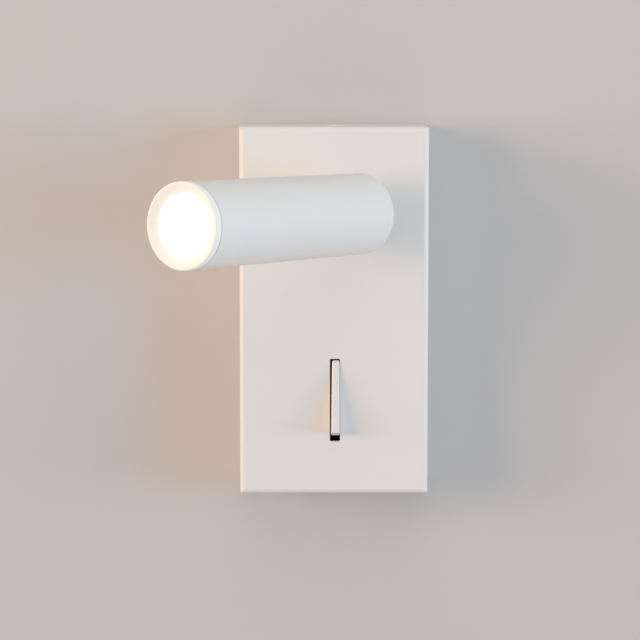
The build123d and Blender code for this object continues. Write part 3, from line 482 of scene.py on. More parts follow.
@dataclass(frozen=True)
class PowderCoat:
    """Satin powder coat: a fine orange peel over a slow waviness, and a tone that drifts a little."""

    name: str
    colour: Colour
    rough: Pair = (0.41, 0.51)
    specular: float = 0.42
    drift: Pair = (28.0, 3.0)
    low_tone: float = 0.985
    peel: Pair = (1500.0, 2.0)
    peel_relief: Pair = (0.16, 0.03 * MM)
    wave: Pair = (330.0, 1.0)
    wave_relief: Pair = (0.10, 0.06 * MM)

    def sockets(self, graph: Graph) -> dict[str, Value]:
        """Works out the coat's inputs of the shader.

        Args:
            graph: The material that they are for.

        Returns:
            The inputs by name.
        """
        spot = graph.place()
        grain = graph.noise(spot, *self.peel)
        under = graph.bump(graph.noise(spot, *self.wave), *self.wave_relief)
        return {
            "Base_Color": graph.drift(graph.noise(spot, *self.drift), self.colour, self.low_tone),
            "Roughness": graph.range(grain, *self.rough),
            "Specular_IOR_Level": self.specular,
            "Normal": graph.bump(grain, *self.peel_relief, under),
        }

    def make(self) -> bpy.types.Material:
        """Builds the material and returns it."""
        graph = Graph(self.name)
        return graph.finish(**self.sockets(graph))


@dataclass(frozen=True)
class PaintedGlowRing:
    """A coated ring round the lens, with painted light: a painted glow, bright beside the lens and faint to its
    rim, and painted shade in the seam behind.
    """

    name: str
    coat: PowderCoat
    # Painted glow: its colour, the spans where it is bright and faint, and its strength of emission
    light: Colour
    place: Place
    painted_glow_bright_to: float
    painted_glow_faint_from: float
    painted_glow_faint: float
    glow: float
    # Painted shade in the seam behind the ring: where its band ends, and how dark it is
    painted_shade_seam_to: float
    painted_shade_seam_tone: float = 0.35

    def make(self) -> bpy.types.Material:
        """Builds the material and returns it."""
        graph = Graph(self.name)
        sockets = self.coat.sockets(graph)
        edge = graph.range(graph.from_axis(self.place), 0.0, 1.0, self.painted_glow_bright_to, self.painted_glow_faint_from)
        along = graph.add("ShaderNodeSeparateXYZ", Vector=graph.place(self.place)).outputs["Z"]
        # Painted shade in the seam's band: its colour is darkened and its glow taken away
        painted_shade_seam_band = graph.math("LESS_THAN", along, self.painted_shade_seam_to)
        painted_seam_shade = darker(self.coat.colour, self.painted_shade_seam_tone)
        sockets["Base_Color"] = graph.tint(painted_shade_seam_band, sockets["Base_Color"], painted_seam_shade)
        # Painted glow on the ring, which is no lamp: bright beside the lens, faint towards its rim
        painted_glow = graph.tint(edge, self.light, darker(self.light, self.painted_glow_faint))
        return graph.finish(
            **sockets,
            Emission_Color=graph.tint(painted_shade_seam_band, painted_glow, UNLIT),
            Emission_Strength=self.glow,
        )


@dataclass(frozen=True)
class MouldedPlastic:
    """Moulded plastic with an even spark-eroded grain and a faint drift of tone."""

    name: str
    colour: Colour
    rough: Pair = (0.44, 0.56)
    soft: float = 0.0
    soft_reach: tuple[float, float, float] = (0.9 * MM, 0.8 * MM, 0.7 * MM)
    drift: Pair = (60.0, 2.0)
    low_tone: float = 0.96
    grain: Pair = (2600.0, 3.0)
    relief: Pair = (0.18, 0.04 * MM)

    def make(self) -> bpy.types.Material:
        """Builds the material and returns it."""
        graph = Graph(self.name)
        spot = graph.place()
        grain = graph.noise(spot, *self.grain)
        return graph.finish(
            Base_Color=graph.drift(graph.noise(spot, *self.drift), self.colour, self.low_tone),
            Roughness=graph.range(grain, *self.rough),
            Subsurface_Weight=self.soft,
            Subsurface_Radius=self.soft_reach,
            Normal=graph.bump(grain, *self.relief),
        )


@dataclass(frozen=True)
class StreakedMetal:
    """Metal with streaks along one axis of its frame and a mottled tone; by default, zinc plated sheet."""

    name: str
    colour: Colour
    rough: Pair = (0.26, 0.46)
    place: Place = ROW_PLACE
    stretch: tuple[float, float, float] = (90.0, 900.0, 2400.0)
    streaks: Pair = (1.0, 3.0)
    relief: Pair = (0.10, 0.02 * MM)
    mottle: Pair = (160.0, 4.0)
    mottle_span: Pair = (0.35, 0.65)
    low_tone: float = 0.82

    def make(self) -> bpy.types.Material:
        """Builds the material and returns it."""
        graph = Graph(self.name)
        spot = graph.place(self.place)
        streaks = graph.noise(graph.stretch(spot, self.stretch), *self.streaks)
        cloud = graph.noise(spot, *self.mottle)
        return graph.finish(
            Base_Color=graph.drift(cloud, self.colour, self.low_tone, *self.mottle_span),
            Metallic=1.0,
            Roughness=graph.range(streaks, *self.rough),
            Normal=graph.bump(streaks, *self.relief),
        )


@dataclass(frozen=True)
class TurnedMetal(StreakedMetal):
    """Bare turned metal: fine tool rings along the lathe's axis."""

    rough: Pair = (0.22, 0.40)
    stretch: tuple[float, float, float] = (6.0, 6.0, 5200.0)
    streaks: Pair = (1.0, 2.0)
    relief: Pair = (0.14, 0.02 * MM)
    mottle: Pair = (120.0, 3.0)
    mottle_span: Pair = (0.3, 0.7)
    low_tone: float = 0.88


@dataclass(frozen=True)
class Rubber:
    """Moulded rubber: dull, with a fine grain and a dusty bloom in patches."""

    name: str
    colour: Colour
    bloom: Colour
    rough: Pair = (0.64, 0.80)
    grain: Pair = (3200.0, 2.0)
    relief: Pair = (0.25, 0.04 * MM)
    dust: Pair = (210.0, 5.0)
    dust_span: Pair = (0.45, 0.75)
    dust_most: float = 0.5

    def make(self) -> bpy.types.Material:
        """Builds the material and returns it."""
        graph = Graph(self.name)
        spot = graph.place()
        dust = graph.range(graph.noise(spot, *self.dust), 0.0, self.dust_most, *self.dust_span)
        grain = graph.noise(spot, *self.grain)
        return graph.finish(
            Base_Color=graph.tint(dust, self.colour, self.bloom),
            Roughness=graph.range(grain, *self.rough),
            Normal=graph.bump(grain, *self.relief),
        )


@dataclass(frozen=True)
class CircuitBoard:
    """Lacquered board with lighter tracks, and the dark parts that stand on it towards the wall."""

    name: str
    lacquer: Colour
    track: Colour
    parts: Colour
    parts_from: float
    cells: float = 260.0
    track_width: float = 0.035
    rough: Pair = (0.28, 0.46)
    grain: Pair = (1800.0, 3.0)
    relief: Pair = (0.12, 0.03 * MM)

    def make(self) -> bpy.types.Material:
        """Builds the material and returns it."""
        graph = Graph(self.name)
        spot = graph.place()
        flat = graph.stretch(spot, (1.0, 0.0, 1.0))
        bricks = graph.add("ShaderNodeTexBrick", Vector=flat, Scale=self.cells, Mortar_Size=self.track_width)
        board = graph.tint(bricks.outputs["Fac"], self.lacquer, self.track)
        depth = graph.add("ShaderNodeSeparateXYZ", Vector=spot).outputs["Y"]
        raised = graph.math("GREATER_THAN", depth, self.parts_from)
        grain = graph.noise(spot, *self.grain)
        return graph.finish(
            Base_Color=graph.tint(raised, board, self.parts),
            Roughness=graph.range(grain, *self.rough),
            Normal=graph.bump(grain, *self.relief),
        )


@dataclass(frozen=True)
class LampChip:
    """Phosphor of the lamp: yellow, with a paler square rim, and lit."""

    name: str
    phosphor: Colour
    rim: Colour
    place: Place
    dome: float
    glow: float = 3.0
    rim_glow: float = 0.2
    rough: Pair = (0.35, 0.55)
    grain: Pair = (4000.0, 2.0)

    def make(self) -> bpy.types.Material:
        """Builds the material and returns it."""
        graph = Graph(self.name)
        outside = graph.math("GREATER_THAN", graph.from_axis(self.place), self.dome)
        return graph.finish(
            Base_Color=graph.tint(outside, self.phosphor, self.rim),
            Roughness=graph.range(graph.noise(graph.place(), *self.grain), *self.rough),
            Emission_Color=graph.tint(outside, self.phosphor, darker(self.rim, self.rim_glow)),
            Emission_Strength=self.glow,
        )


@dataclass(frozen=True)
class MirrorCoat:
    """Vacuum metallised reflector: bright, with a faint haze."""

    name: str
    colour: Colour
    low_tone: float = 0.95
    rough: Pair = (0.08, 0.18)
    haze: Pair = (700.0, 3.0)
    relief: Pair = (0.08, 0.03 * MM)

    def make(self) -> bpy.types.Material:
        """Builds the material and returns it."""
        graph = Graph(self.name)
        haze = graph.noise(graph.place(), *self.haze)
        return graph.finish(
            Base_Color=graph.drift(haze, self.colour, self.low_tone),
            Metallic=1.0,
            Roughness=graph.range(haze, *self.rough),
            Normal=graph.bump(haze, *self.relief),
        )


@dataclass(frozen=True)
class LitLens:
    """Frosted lens with the lamp behind it: white in the middle, creamy and dimmer towards its rim."""

    name: str
    colour: Colour
    middle: Colour
    rim: Colour
    place: Place
    rim_from: float
    rim_to: float
    glow: float
    falloff: float = 0.4
    low_tone: float = 0.97
    rough: Pair = (0.38, 0.52)
    frost: Pair = (2400.0, 3.0)
    relief: Pair = (0.2, 0.03 * MM)

    def make(self) -> bpy.types.Material:
        """Builds the material and returns it."""
        graph = Graph(self.name)
        share = graph.range(graph.from_axis(self.place), 0.0, 1.0, self.rim_from, self.rim_to)
        edge = graph.math("POWER", share, self.falloff)
        frost = graph.noise(graph.place(), *self.frost)
        return graph.finish(
            Base_Color=graph.drift(frost, self.colour, self.low_tone),
            Roughness=graph.range(frost, *self.rough),
            Emission_Color=graph.tint(edge, self.middle, self.rim),
            Emission_Strength=self.glow,
            Normal=graph.bump(frost, *self.relief),
        )


@dataclass(frozen=True)
class Insulation:
    """Soft lead insulation: slightly glossy, with a stripe where the lead has a second colour."""

    name: str
    colour: Colour
    stripe: Colour | None = None
    stripe_scale: float = 340.0
    stripe_from: float = 0.55
    low_tone: float = 0.86
    rough: Pair = (0.30, 0.46)
    rub: Pair = (900.0, 3.0)
    relief: Pair = (0.10, 0.03 * MM)

    def make(self) -> bpy.types.Material:
        """Builds the material and returns it."""
        graph = Graph(self.name)
        spot = graph.place()
        rub = graph.noise(spot, *self.rub)
        base = graph.drift(rub, self.colour, self.low_tone)
        if self.stripe is not None:
            bands = graph.add("ShaderNodeTexWave", Vector=spot, Scale=self.stripe_scale)
            bands.bands_direction = "DIAGONAL"
            band = graph.math("GREATER_THAN", bands.outputs["Fac"], self.stripe_from)
            base = graph.tint(band, base, self.stripe)
        return graph.finish(
            Base_Color=base,
            Roughness=graph.range(rub, *self.rough),
            Normal=graph.bump(rub, *self.relief),
        )


@dataclass(frozen=True)
class WallPaint:
    """Matt paint with a faint roller stipple, seen from the front only.

    It lets light through to what lies against it: a short ray passes, unless the camera sent it.
    """

    name: str
    colour: Colour
    near: float = 40.0 * MM
    stipple: Pair = (420.0, 3.0)
    relief: Pair = (0.05, 0.1 * MM)
    patches: Pair = (7.0, 2.0)
    low_tone: float = 0.992

    def make(self) -> bpy.types.Material:
        """Builds the material and returns it."""
        graph = Graph(self.name)
        spot = graph.place()
        paint = graph.add(
            "ShaderNodeBsdfDiffuse",
            Color=graph.drift(graph.noise(spot, *self.patches), self.colour, self.low_tone),
            Normal=graph.bump(graph.noise(spot, *self.stipple), *self.relief),
        )
        path = graph.add("ShaderNodeLightPath").outputs
        far = graph.math("GREATER_THAN", path["Ray Length"], self.near)
        seen = graph.math("MAXIMUM", path["Is Camera Ray"], far)
        front = graph.math("SUBTRACT", 1.0, graph.add("ShaderNodeNewGeometry").outputs["Backfacing"])
        graph.blend(graph.math("MULTIPLY", seen, front), graph.add("ShaderNodeBsdfTransparent"), paint)
        return graph.owner


WHITE = (0.80, 0.785, 0.77)
COAT = PowderCoat("white_powder_coat", WHITE)


@dataclass
class Finishes:
    """Every finish of the part, made once and handed out by the record's slot names."""

    made: dict[str, bpy.types.Material] = field(default_factory=dict)
    board_sheet: float = 1.3 * MM
    lamp_dome: float = 1.9 * MM

    def build(self) -> None:
        """Makes one material for each slot of the record, apart from the lens's."""
        board = CircuitBoard(
            "driver_board",
            lacquer=(0.03, 0.16, 0.07),
            track=(0.07, 0.26, 0.12),
            parts=(0.05, 0.05, 0.055),
            parts_from=extent("driver_board")[0][1] + self.board_sheet,
        )
        finishes = {
            "white_paint": COAT,
            "white_plastic": MouldedPlastic("white_lever_plastic", (0.82, 0.80, 0.775), (0.38, 0.50)),
            "zinc_steel": StreakedMetal("zinc_plated_steel", (0.66, 0.67, 0.68)),
            "brass_metal": TurnedMetal("turned_brass", (0.78, 0.60, 0.30), place=SWIVEL_PLACE),
            "aluminium_metal": TurnedMetal("turned_aluminium", (0.78, 0.79, 0.80), place=HEAD_PLACE),
            # Black plastic, darkened past its own colour as painted shade so that the switch slot stays dark
            "dark_plastic": MouldedPlastic("dark_moulding_darkened_as_shade", (0.014, 0.014, 0.015), (0.54, 0.66)),
            "nylon": MouldedPlastic("natural_nylon", (0.78, 0.76, 0.71), (0.36, 0.48), soft=0.25),
            "terminal_plastic": MouldedPlastic(
                "terminal_moulding", (0.72, 0.71, 0.66), (0.30, 0.42), soft=0.3
            ),
            "dark_rubber": Rubber("black_rubber", (0.025, 0.025, 0.026), (0.10, 0.10, 0.10)),
            "silicone": Rubber("clear_silicone", (0.74, 0.73, 0.70), (0.80, 0.79, 0.77), (0.42, 0.58)),
            "circuit_board": board,
            "lamp_board_white": MouldedPlastic("white_lamp_board", (0.86, 0.86, 0.84), (0.32, 0.44)),
            "lamp_chip": LampChip(
                "lamp_phosphor", (0.95, 0.70, 0.18), (0.85, 0.85, 0.83), HEAD_PLACE, self.lamp_dome
            ),
            "reflector_silver": MirrorCoat("metallised_reflector", (0.92, 0.92, 0.90)),
            "lead_brown": Insulation("brown_insulation", (0.16, 0.07, 0.03)),
            "lead_blue": Insulation("blue_insulation", (0.04, 0.12, 0.42)),
            "lead_green": Insulation("green_insulation", (0.06, 0.30, 0.07), stripe=(0.72, 0.62, 0.05)),
            "lead_white": Insulation("white_insulation", (0.74, 0.74, 0.72)),
        }
        for slot, finish in finishes.items():
            self.made[slot] = finish.make()

    def dress(self, piece: bpy.types.Object, slot: str) -> None:
        """Gives a piece the finish of a slot.

        Args:
            piece: The object to dress.
            slot: The record's slot name.
        """
        put_on(piece, self.made[slot])
        LOG.info("%s dressed as %s", piece.name, slot)


def put_on(piece: bpy.types.Object, material: bpy.types.Material) -> None:
    """Puts a material on a piece: in all its material slots, or in a first one.

    Args:
        piece: The object to dress.
        material: The material.
    """
    if not piece.material_slots:
        piece.data.materials.append(material)
    for place in piece.material_slots:
        place.material = material


@dataclass(frozen=True)
class Screw:
    """One screw about its own axis: a turned outline, a recess in its head and a thread on its shank.

    The recess is given in shares of the head's radius, the tip as a share of the shank's radius, and the
    blunt rim of a countersunk head as a share of the edge.
    """

    head: float
    shank: float
    length: float
    style: HeadStyle
    drive: Drive = Drive.CROSS
    height: float = 0.0
    edge: float = 0.12 * MM
    pitch: float = 0.7 * MM
    thread: float = 0.14 * MM
    tip: float = 0.35
    blunt: float = 0.35
    arm_half: float = 0.13
    arm_reach: float = 0.62
    arm_wall: float = 0.05
    slot_depth: float = 0.35
    cross_depth: float = 0.42
    cross_rise: float = 0.45
    around: int = 120
    rings: int = 44
    edge_rows: int = 7
    rows_per_turn: int = 7

    def recess(self, across: np.ndarray, up: np.ndarray) -> np.ndarray:
        """Depth of the recess: each arm is a strip with soft walls, and a cross deepens towards its middle.

        Args:
            across: Distance from the axis along the first arm.
            up: Distance from the axis along the second arm.

        Returns:
            The depth below the head's top at each point.
        """
        half, reach, wall = (self.head * share for share in (self.arm_half, self.arm_reach, self.arm_wall))
        narrow = [step(half + wall - np.abs(side), wall) for side in (across, up)]
        if self.drive is Drive.SLOT:
            return self.slot_depth * self.head * narrow[0]
        wide = [step(reach + wall - np.abs(side), wall) for side in (across, up)]
        cross = np.maximum(narrow[0] * wide[1], narrow[1] * wide[0])
        out = np.clip(np.hypot(across, up) / reach, 0.0, 1.0)
        return self.cross_depth * self.head * cross * (1.0 - self.cross_rise * out)

    def head_side(self) -> np.ndarray:
        """The outline from the head's top edge to where the shank starts.

        Returns:
            One row for each point: the radius, and the height below the top.
        """
        if self.style is HeadStyle.GRUB:
            return np.array([[self.shank, -self.edge]])
        if self.style is HeadStyle.COUNTERSUNK:
            blunt = self.blunt * self.edge
            return np.array([[self.head - blunt, -blunt], [self.shank, self.shank - self.head]])
        turn = np.linspace(0.0, 0.5 * np.pi, self.edge_rows)[1:]
        rounded = [self.head - self.edge * (1.0 - np.sin(turn)), self.edge * (np.cos(turn) - 1.0)]
        seat = [[self.head, -self.height], [self.shank, -self.height]]
        return np.concatenate([np.stack(rounded, axis=1), seat])

    def outline(self) -> tuple[np.ndarray, np.ndarray, np.ndarray]:
        """The turned outline, from the middle of the head's top to the tip.

        Returns:
            The radius, the height below the top, and 1 where the thread runs, for each row of the grid.
        """
        top = np.linspace(0.0, self.head - self.edge, self.rings)
        side = self.head_side()
        tip = self.tip * self.shank
        run = self.length + side[-1, 1] - tip
        rows = int(self.rows_per_turn * run / self.pitch) + 2
        stem = np.linspace(side[-1, 1], tip - self.length, rows)[1:]
        radii = np.concatenate([top, side[:, 0], np.full(stem.shape, self.shank), [self.shank - tip, 0.0]])
        heights = np.concatenate([0.0 * top, side[:, 1], stem, [-self.length, -self.length]])
        threaded = np.concatenate([0.0 * top, 0.0 * side[:, 0], np.ones(stem.shape), [0.0, 0.0]])
        return radii, heights, threaded

    def shell(self, place: Place) -> Shell:
        """The screw's surface: the outline turned round its axis, less the recess, and a wave as thread.

        Args:
            place: Middle of the head's top, and the direction that the head faces.

        Returns:
            The vertices in the row frame, and their quads.
        """
        radii, heights, threaded = self.outline()
        turn = np.linspace(0.0, 2.0 * np.pi, self.around, endpoint=False)
        wave = 0.5 - 0.5 * np.cos(2.0 * np.pi * heights[:, None] / self.pitch - turn)
        reach = radii[:, None] - self.thread * wave * threaded[:, None]
        across, up = reach * np.cos(turn), reach * np.sin(turn)
        on_top = np.arange(len(radii))[:, None] < self.rings
        depth = np.where(on_top, self.recess(across, up), 0.0)
        local = np.stack([across, up, heights[:, None] - depth], axis=-1).reshape(-1, 3)
        return place.points(local), grid_faces(len(radii), self.around, closed=True)


def screw_place(place: Place, spot: np.ndarray, facing: Facing, turn: float) -> Place:
    """Where one screw sits: its head's top at a spot, facing along the place's direction or against it.

    Args:
        place: The frame that the spot is given in.
        spot: The middle of the head's top in that frame.
        facing: Whether it faces along the frame's direction or against it.
        turn: How far the recess is turned, in degrees.

    Returns:
        The screw's own frame.
    """
    side, up, along = place.axes()
    turned = np.cos(radians(turn)) * side + np.sin(radians(turn)) * up
    return Place(place.points(spot[None, :])[0], facing.value * along, turned)


@dataclass
class Assembly:
    """What the sub-assemblies share: each dresses its nodes, and puts cut screws in place of plain ones."""

    finishes: Finishes
    nodes: tuple[str, ...] = ()
    body: Body = Body.BASE
    turns: tuple[float, ...] = ()

    def build(self) -> None:
        """Makes the pieces that stand in for nodes. An assembly that has none keeps this."""

    def dress(self) -> None:
        """Gives each node the finish of its slot."""
        for node in self.nodes:
            self.finishes.dress(frame["nodes"][node], SLOTS[node])

    def stand_in(self, node: str, screw: Screw, place: Place, heads: list[tuple[np.ndarray, Facing]]) -> None:
        """Makes one piece of equal screws, in the place of a node.

        Args:
            node: The node that the screws replace.
            screw: The screw.
            place: The frame that the heads are given in.
            heads: The middle of each head's top, and which way it faces.
        """
        shells = [
            screw.shell(screw_place(place, spot, facing, turn))
            for (spot, facing), turn in zip(heads, self.turns)
        ]
        piece = surface_piece(f"{node}_cut", shells)
        self.finishes.dress(piece, SLOTS[node])
        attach(piece, self.body.value)
        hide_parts(node)
        LOG.info("%s made with %d faces", piece.name, len(piece.data.polygons))


# Directions for the screws inside the box: along the wall's normal, with the row's right as their side
TO_WALL = Place(np.zeros(3), INWARD, RIGHT)


@dataclass
class WallBox(Assembly):
    """The box on the wall: housing, bracket, cable bush, terminals and earth."""

    nodes: tuple[str, ...] = ("front_housing", "wall_bracket", "cable_bush", "terminal_block", "earth_tag")
    turns: tuple[float, ...] = (24.0, 61.0, 8.0)
    housing_shank: float = 1.75 * MM
    housing_length: float = 6.0 * MM
    earth_shank: float = 2.0 * MM
    earth_head_height: float = 2.4 * MM
    earth_head_edge: float = 0.6 * MM
    terminal_ways: int = 3
    terminal_pitch: float = 0.5 * MM

    def build(self) -> None:
        """Makes the housing's, the terminals' and the earth's screws."""
        self.housing_screws()
        self.terminal_screws()
        self.earth_screw()

    def housing_screws(self) -> None:
        """Makes the countersunk screws in the box's top and bottom walls."""
        low, high = extent("housing_screws")
        head = (high[0] - low[0]) / 2
        screw = Screw(head, self.housing_shank, self.housing_length, HeadStyle.COUNTERSUNK)
        middle = (low + high) / 2
        top = (np.array([middle[0], middle[1], high[2]]), Facing.ALONG)
        bottom = (np.array([middle[0], middle[1], low[2]]), Facing.AGAINST)
        self.stand_in("housing_screws", screw, ROW_PLACE, [top, bottom])

    def terminal_screws(self) -> None:
        """Makes the slotted clamping screws of the terminal block, side by side."""
        low, high = extent("terminal_screws", TO_WALL)
        radius = (high[1] - low[1]) / 2
        length = high[2] - low[2]
        screw = Screw(radius, radius, length, HeadStyle.GRUB, Drive.SLOT, pitch=self.terminal_pitch)
        columns = np.linspace(low[0] + radius, high[0] - radius, self.terminal_ways)
        row = (low[1] + high[1]) / 2
        heads = [(np.array([column, row, low[2]]), Facing.AGAINST) for column in columns]
        self.stand_in("terminal_screws", screw, TO_WALL, heads)

    def earth_screw(self) -> None:
        """Makes the earth's pan head screw, which faces away from the wall."""
        low, high = extent("earth_screw", TO_WALL)
        middle = (low + high) / 2
        head = middle[0] - low[0]
        shape = {"height": self.earth_head_height, "edge": self.earth_head_edge}
        screw = Screw(head, self.earth_shank, high[2] - low[2], HeadStyle.PAN, **shape)
        spot = np.array([middle[0], middle[1], low[2]])
        self.stand_in("earth_screw", screw, TO_WALL, [(spot, Facing.AGAINST)])


@dataclass
class BehindFront(Assembly):
    """What hangs behind the box's front on two pan head screws, which face the wall."""

    turns: tuple[float, ...] = (35.0, 72.0)
    screws: str = ""
    row: Row = Row.ACROSS
    shank: float = 1.25 * MM
    head_height: float = 1.7 * MM
    head_edge: float = 0.6 * MM

    def build(self) -> None:
        """Makes the two screws, one at each end of the row that they stand in."""
        low, high = extent(self.screws, TO_WALL)
        row = self.row.value
        head = (high[1 - row] - low[1 - row]) / 2
        shape = {"height": self.head_height, "edge": self.head_edge}
        screw = Screw(head, self.shank, high[2] - low[2], HeadStyle.PAN, **shape)
        spots = np.tile((low + high) / 2, (2, 1))
        spots[:, row] = [low[row] + head, high[row] - head]
        spots[:, 2] = high[2]
        self.stand_in(self.screws, screw, TO_WALL, [(spot, Facing.ALONG) for spot in spots])


@dataclass
class LampDriver(BehindFront):
    """The lamp's driver: case, board and lid, with its screws side by side."""

    nodes: tuple[str, ...] = ("driver_case", "driver_board", "driver_lid")
    screws: str = "driver_screws"
    row: Row = Row.ACROSS


@dataclass
class RockerSwitch(BehindFront):
    """The switch: body, blades, pin and lever, with its screws one above the other."""

    nodes: tuple[str, ...] = ("switch_body", "switch_terminals", "rocker_lever")
    screws: str = "switch_screws"
    row: Row = Row.UPRIGHT
    # The pin's black is painted shade: it keeps the switch slot dark
    pin_painted_shade_colour: Colour = (0.03, 0.03, 0.032)
    pin_rough: Pair = (0.42, 0.62)

    def dress(self) -> None:
        """Dresses the nodes, and gives the pin a black zinc plating, dark as painted shade so that the slot stays
        dark.
        """
        super().dress()
        finish = StreakedMetal("black_zinc_plating_as_slot_shade", self.pin_painted_shade_colour, self.pin_rough)
        put_on(frame["nodes"]["rocker_pin"], finish.make())
        LOG.info("rocker_pin dressed as %s", finish.name)


@dataclass
class SwivelJoint(Assembly):
    """The swivel: bush, stem, stop washer, disc spring and nut."""

    nodes: tuple[str, ...] = ("swivel_bush", "swivel_stem", "stop_washer", "disc_spring", "swivel_nut")


@dataclass
class SpotHead(Assembly):
    """The spot head: tube, pivot, heat sink, lamp, reflector, lens and bezel."""

    nodes: tuple[str, ...] = (
        "head_tube", "pivot_block", "pivot_studs", "friction_washers", "heat_sink",
        "led_board", "led_chip", "reflector", "lens_gasket",
    )
    body: Body = Body.HEAD
    turns: tuple[float, ...] = (17.0, 55.0)
    block_shank: float = 1.25 * MM
    block_head_edge: float = 0.1 * MM
    board_shank: float = 1.0 * MM
    board_head_height: float = 1.0 * MM
    board_head_edge: float = 0.3 * MM
    pitch: float = 0.5 * MM
    thread: float = 0.1 * MM
    lens_colour: Colour = (0.95, 0.93, 0.88)
    lens_middle: Colour = (1.0, 0.97, 0.91)
    lens_rim: Colour = (0.26, 0.27, 0.25)
    lens_glow: float = 1.7
    lens_radius: float = 9.7 * MM
    lens_soft: float = 3.0 * MM
    # Painted glow on the bezel ring: its colour, strength, faint share and the width it fades over
    ring_painted_glow_colour: Colour = (0.82, 1.0, 0.88)
    ring_painted_glow: float = 0.20
    ring_painted_glow_faint: float = 0.62
    ring_painted_glow_fade: float = 1.6 * MM
    # Width of the band of painted shade at the bezel's seam
    painted_shade_seam_band: float = 0.24 * MM

    def build(self) -> None:
        """Makes the screws that hold the pivot block and the lamp board."""
        block = {"edge": self.block_head_edge}
        board = {"edge": self.board_head_edge, "height": self.board_head_height}
        self.screw_pair("block_screws", HeadStyle.COUNTERSUNK, Facing.AGAINST, self.block_shank, **block)
        self.screw_pair("board_screws", HeadStyle.PAN, Facing.ALONG, self.board_shank, **board)

    def screw_pair(
        self, node: str, style: HeadStyle, facing: Facing, shank: float, edge: float, height: float = 0.0
    ) -> None:
        """Makes two screws along the tube, either side of its axis.

        Args:
            node: The node that they replace.
            style: The shape of their heads.
            facing: Whether the heads face along the tube, to its front, or against it.
            shank: Radius of the shanks.
            edge: Rounding of the heads' edges.
            height: Height of the heads, where they stand proud.
        """
        low, high = extent(node, HEAD_PLACE)
        head = (high[0] - low[0]) / 2
        shape = {"height": height, "edge": edge, "pitch": self.pitch, "thread": self.thread}
        screw = Screw(head, shank, high[2] - low[2], style, **shape)
        middle = (low[0] + high[0]) / 2
        rows = (low[1] + head, high[1] - head)
        top = high[2] if facing is Facing.ALONG else low[2]
        self.stand_in(node, screw, HEAD_PLACE, [(np.array([middle, row, top]), facing) for row in rows])

    def dress(self) -> None:
        """Dresses the nodes, gives the lens the lamp's light, and gives the ring round it a painted glow and
        painted shade in its seam.
        """
        super().dress()
        lens = LitLens(
            "lit_frosted_lens",
            self.lens_colour,
            self.lens_middle,
            self.lens_rim,
            HEAD_PLACE,
            rim_from=self.lens_radius - self.lens_soft,
            rim_to=self.lens_radius,
            glow=self.lens_glow,
        )
        ring = PaintedGlowRing(
            "bezel_coat_with_painted_glow",
            COAT,
            self.ring_painted_glow_colour,
            HEAD_PLACE,
            painted_glow_bright_to=self.lens_radius,
            painted_glow_faint_from=self.lens_radius + self.ring_painted_glow_fade,
            painted_glow_faint=self.ring_painted_glow_faint,
            glow=self.ring_painted_glow,
            painted_shade_seam_to=extent("head_tube", HEAD_PLACE)[1][2] + self.painted_shade_seam_band,
        )
        for node, finish in {"front_lens": lens, "front_bezel": ring}.items():
            put_on(frame["nodes"][node], finish.make())
            LOG.info("%s dressed as %s", node, finish.name)


@dataclass
class Wiring(Assembly):
    """The mains leads in the box and the three spans of the lamp's lead."""

    nodes: tuple[str, ...] = (
        "live_lead", "switched_lead", "neutral_lead", "earth_lead", "output_lead", "stem_lead", "head_lead",
    )


@dataclass(frozen=True)
class Lamp:
    """A soft square lamp in front of the wall, swung sideways and lifted by degrees, and metres away."""

    name: str
    swing: float
    lift: float
    colour: Colour
    watts: float
    size: float
    distance: float = 2.0

    def hang(self, target: Vector) -> None:
        """Makes the lamp, facing the target.

        Args:
            target: The point that it faces.
        """
        data = bpy.data.lights.new(self.name, type="AREA")
        data.shape = "SQUARE"
        data.size = self.size
        data.color = self.colour
        data.energy = self.watts
        lamp = bpy.data.objects.new(self.name, data)
        turn, rise = radians(self.swing), radians(self.lift)
        way = Vector((np.sin(turn) * np.cos(rise), -np.cos(turn) * np.cos(rise), np.sin(rise)))
        lamp.location = target + self.distance * way
        lamp.rotation_euler = (-way).to_track_quat("-Z", "Y").to_euler()
        lamp.visible_camera = False
        bpy.context.scene.collection.objects.link(lamp)


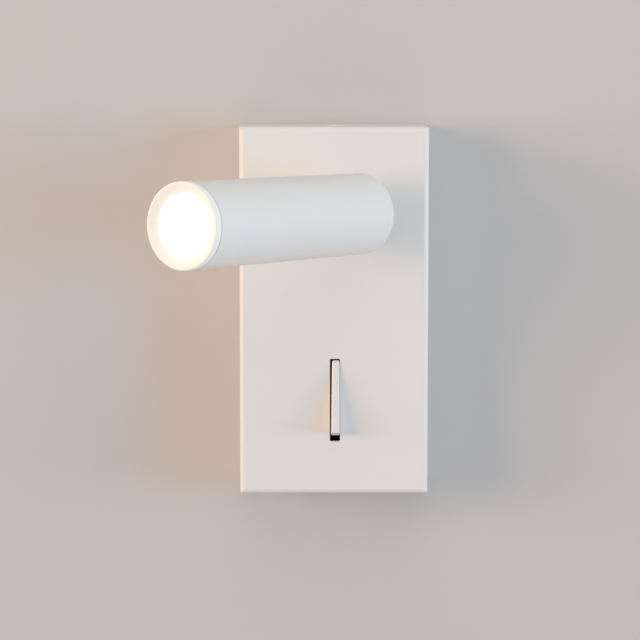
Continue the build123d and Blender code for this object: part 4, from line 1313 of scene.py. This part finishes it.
@dataclass
class Studio:
    """The wall behind, the floor, the lamps and the camera."""

    wall_colour: Colour = (0.60, 0.575, 0.565)
    floor_colour: Colour = (0.82, 0.80, 0.79)
    wall_reach: float = 1.0
    floor_drop: float = 1.0
    wall_gap: float = 0.2 * MM
    sheet_points: int = 9
    ambient: Colour = (0.448, 0.443, 0.412)
    lamps: tuple[Lamp, ...] = (
        Lamp("warm_lamp", swing=-54.0, lift=9.0, colour=(1.0, 0.657, 0.50), watts=14.3, size=0.85),
        Lamp("warm_edge_lamp", swing=-75.0, lift=6.0, colour=(1.0, 0.78, 0.55), watts=11.6, size=0.65),
        Lamp("cool_lamp", swing=53.0, lift=2.0, colour=(0.02, 0.45, 1.0), watts=9.8, size=0.75),
        Lamp("right_edge_lamp", swing=76.0, lift=2.0, colour=(1.0, 0.87, 0.70), watts=13.8, size=0.65),
        Lamp(
            "top_lamp", swing=0.0, lift=50.0, colour=(1.0, 0.97, 0.87), watts=0.9, size=0.6, distance=0.7
        ),
    )
    lamp_target: tuple[float, float, float] = (0.0, -20.0 * MM, 0.0)
    camera_at: tuple[float, float, float] = (-4.54 * MM, -799.84 * MM, 85.19 * MM)
    camera_down: float = 6.482
    focal_pixels: float = 2394.8
    picture_pixels: float = 640.0
    sensor_width: float = 36.0

    def build(self) -> None:
        """Makes the wall, the floor, the world, the lamps and the camera."""
        self.sheets()
        self.world()
        for lamp in self.lamps:
            lamp.hang(Vector(self.lamp_target))
        self.camera()

    def sheets(self) -> None:
        """Makes the wall and the floor as flat grids: a point for each pair of steps along two sides."""
        side = np.linspace(-self.wall_reach, self.wall_reach, self.sheet_points)
        first, second = (part.ravel() for part in np.meshgrid(side, side))
        level = np.full(first.shape, self.wall_gap)
        wall = np.stack([first, level, second], axis=1)
        floor = np.stack([first, second - self.wall_reach, level - self.floor_drop], axis=1)
        paints = [
            ("wall", wall, WallPaint("wall_paint", self.wall_colour)),
            ("floor", floor, WallPaint("floor_paint", self.floor_colour)),
        ]
        faces = grid_faces(self.sheet_points, self.sheet_points, closed=False).tolist()
        for name, points, paint in paints:
            mesh = bpy.data.meshes.new(name)
            mesh.from_pydata(points.tolist(), [], faces)
            mesh.materials.append(paint.make())
            sheet = bpy.data.objects.new(name, mesh)
            bpy.context.scene.collection.objects.link(sheet)

    def world(self) -> None:
        """Lights the room evenly, with a pale backdrop for the camera, for gloss and through clear things."""
        graph = Graph("room", Owner.WORLD)
        bpy.context.scene.world = graph.owner
        path = graph.add("ShaderNodeLightPath").outputs
        mirrored = graph.math("MAXIMUM", path["Is Glossy Ray"], path["Is Transmission Ray"])
        seen = graph.math("MAXIMUM", path["Is Camera Ray"], mirrored)
        light = graph.add("ShaderNodeBackground", Color=self.ambient)
        graph.blend(seen, light, graph.add("ShaderNodeBackground", Color=self.wall_colour))

    def camera(self) -> None:
        """Sets the camera at the picture's viewing angle."""
        data = bpy.data.cameras.new("camera")
        data.sensor_width = self.sensor_width
        data.lens = self.sensor_width * self.focal_pixels / self.picture_pixels
        camera = bpy.data.objects.new("camera", data)
        camera.location = self.camera_at
        camera.rotation_euler = (radians(90.0 - self.camera_down), 0.0, 0.0)
        bpy.context.scene.collection.objects.link(camera)
        bpy.context.scene.camera = camera


def main() -> None:
    """Builds the studio, makes the finishes, and builds and dresses each sub-assembly."""
    logging.basicConfig(level=logging.INFO, format="%(message)s")
    bpy.context.scene.view_settings.view_transform = "Standard"
    Studio().build()
    finishes = Finishes()
    finishes.build()
    for assembly in (WallBox, LampDriver, RockerSwitch, SwivelJoint, SpotHead, Wiring):
        made = assembly(finishes)
        made.build()
        made.dress()


if __name__ == "__main__":
    main()
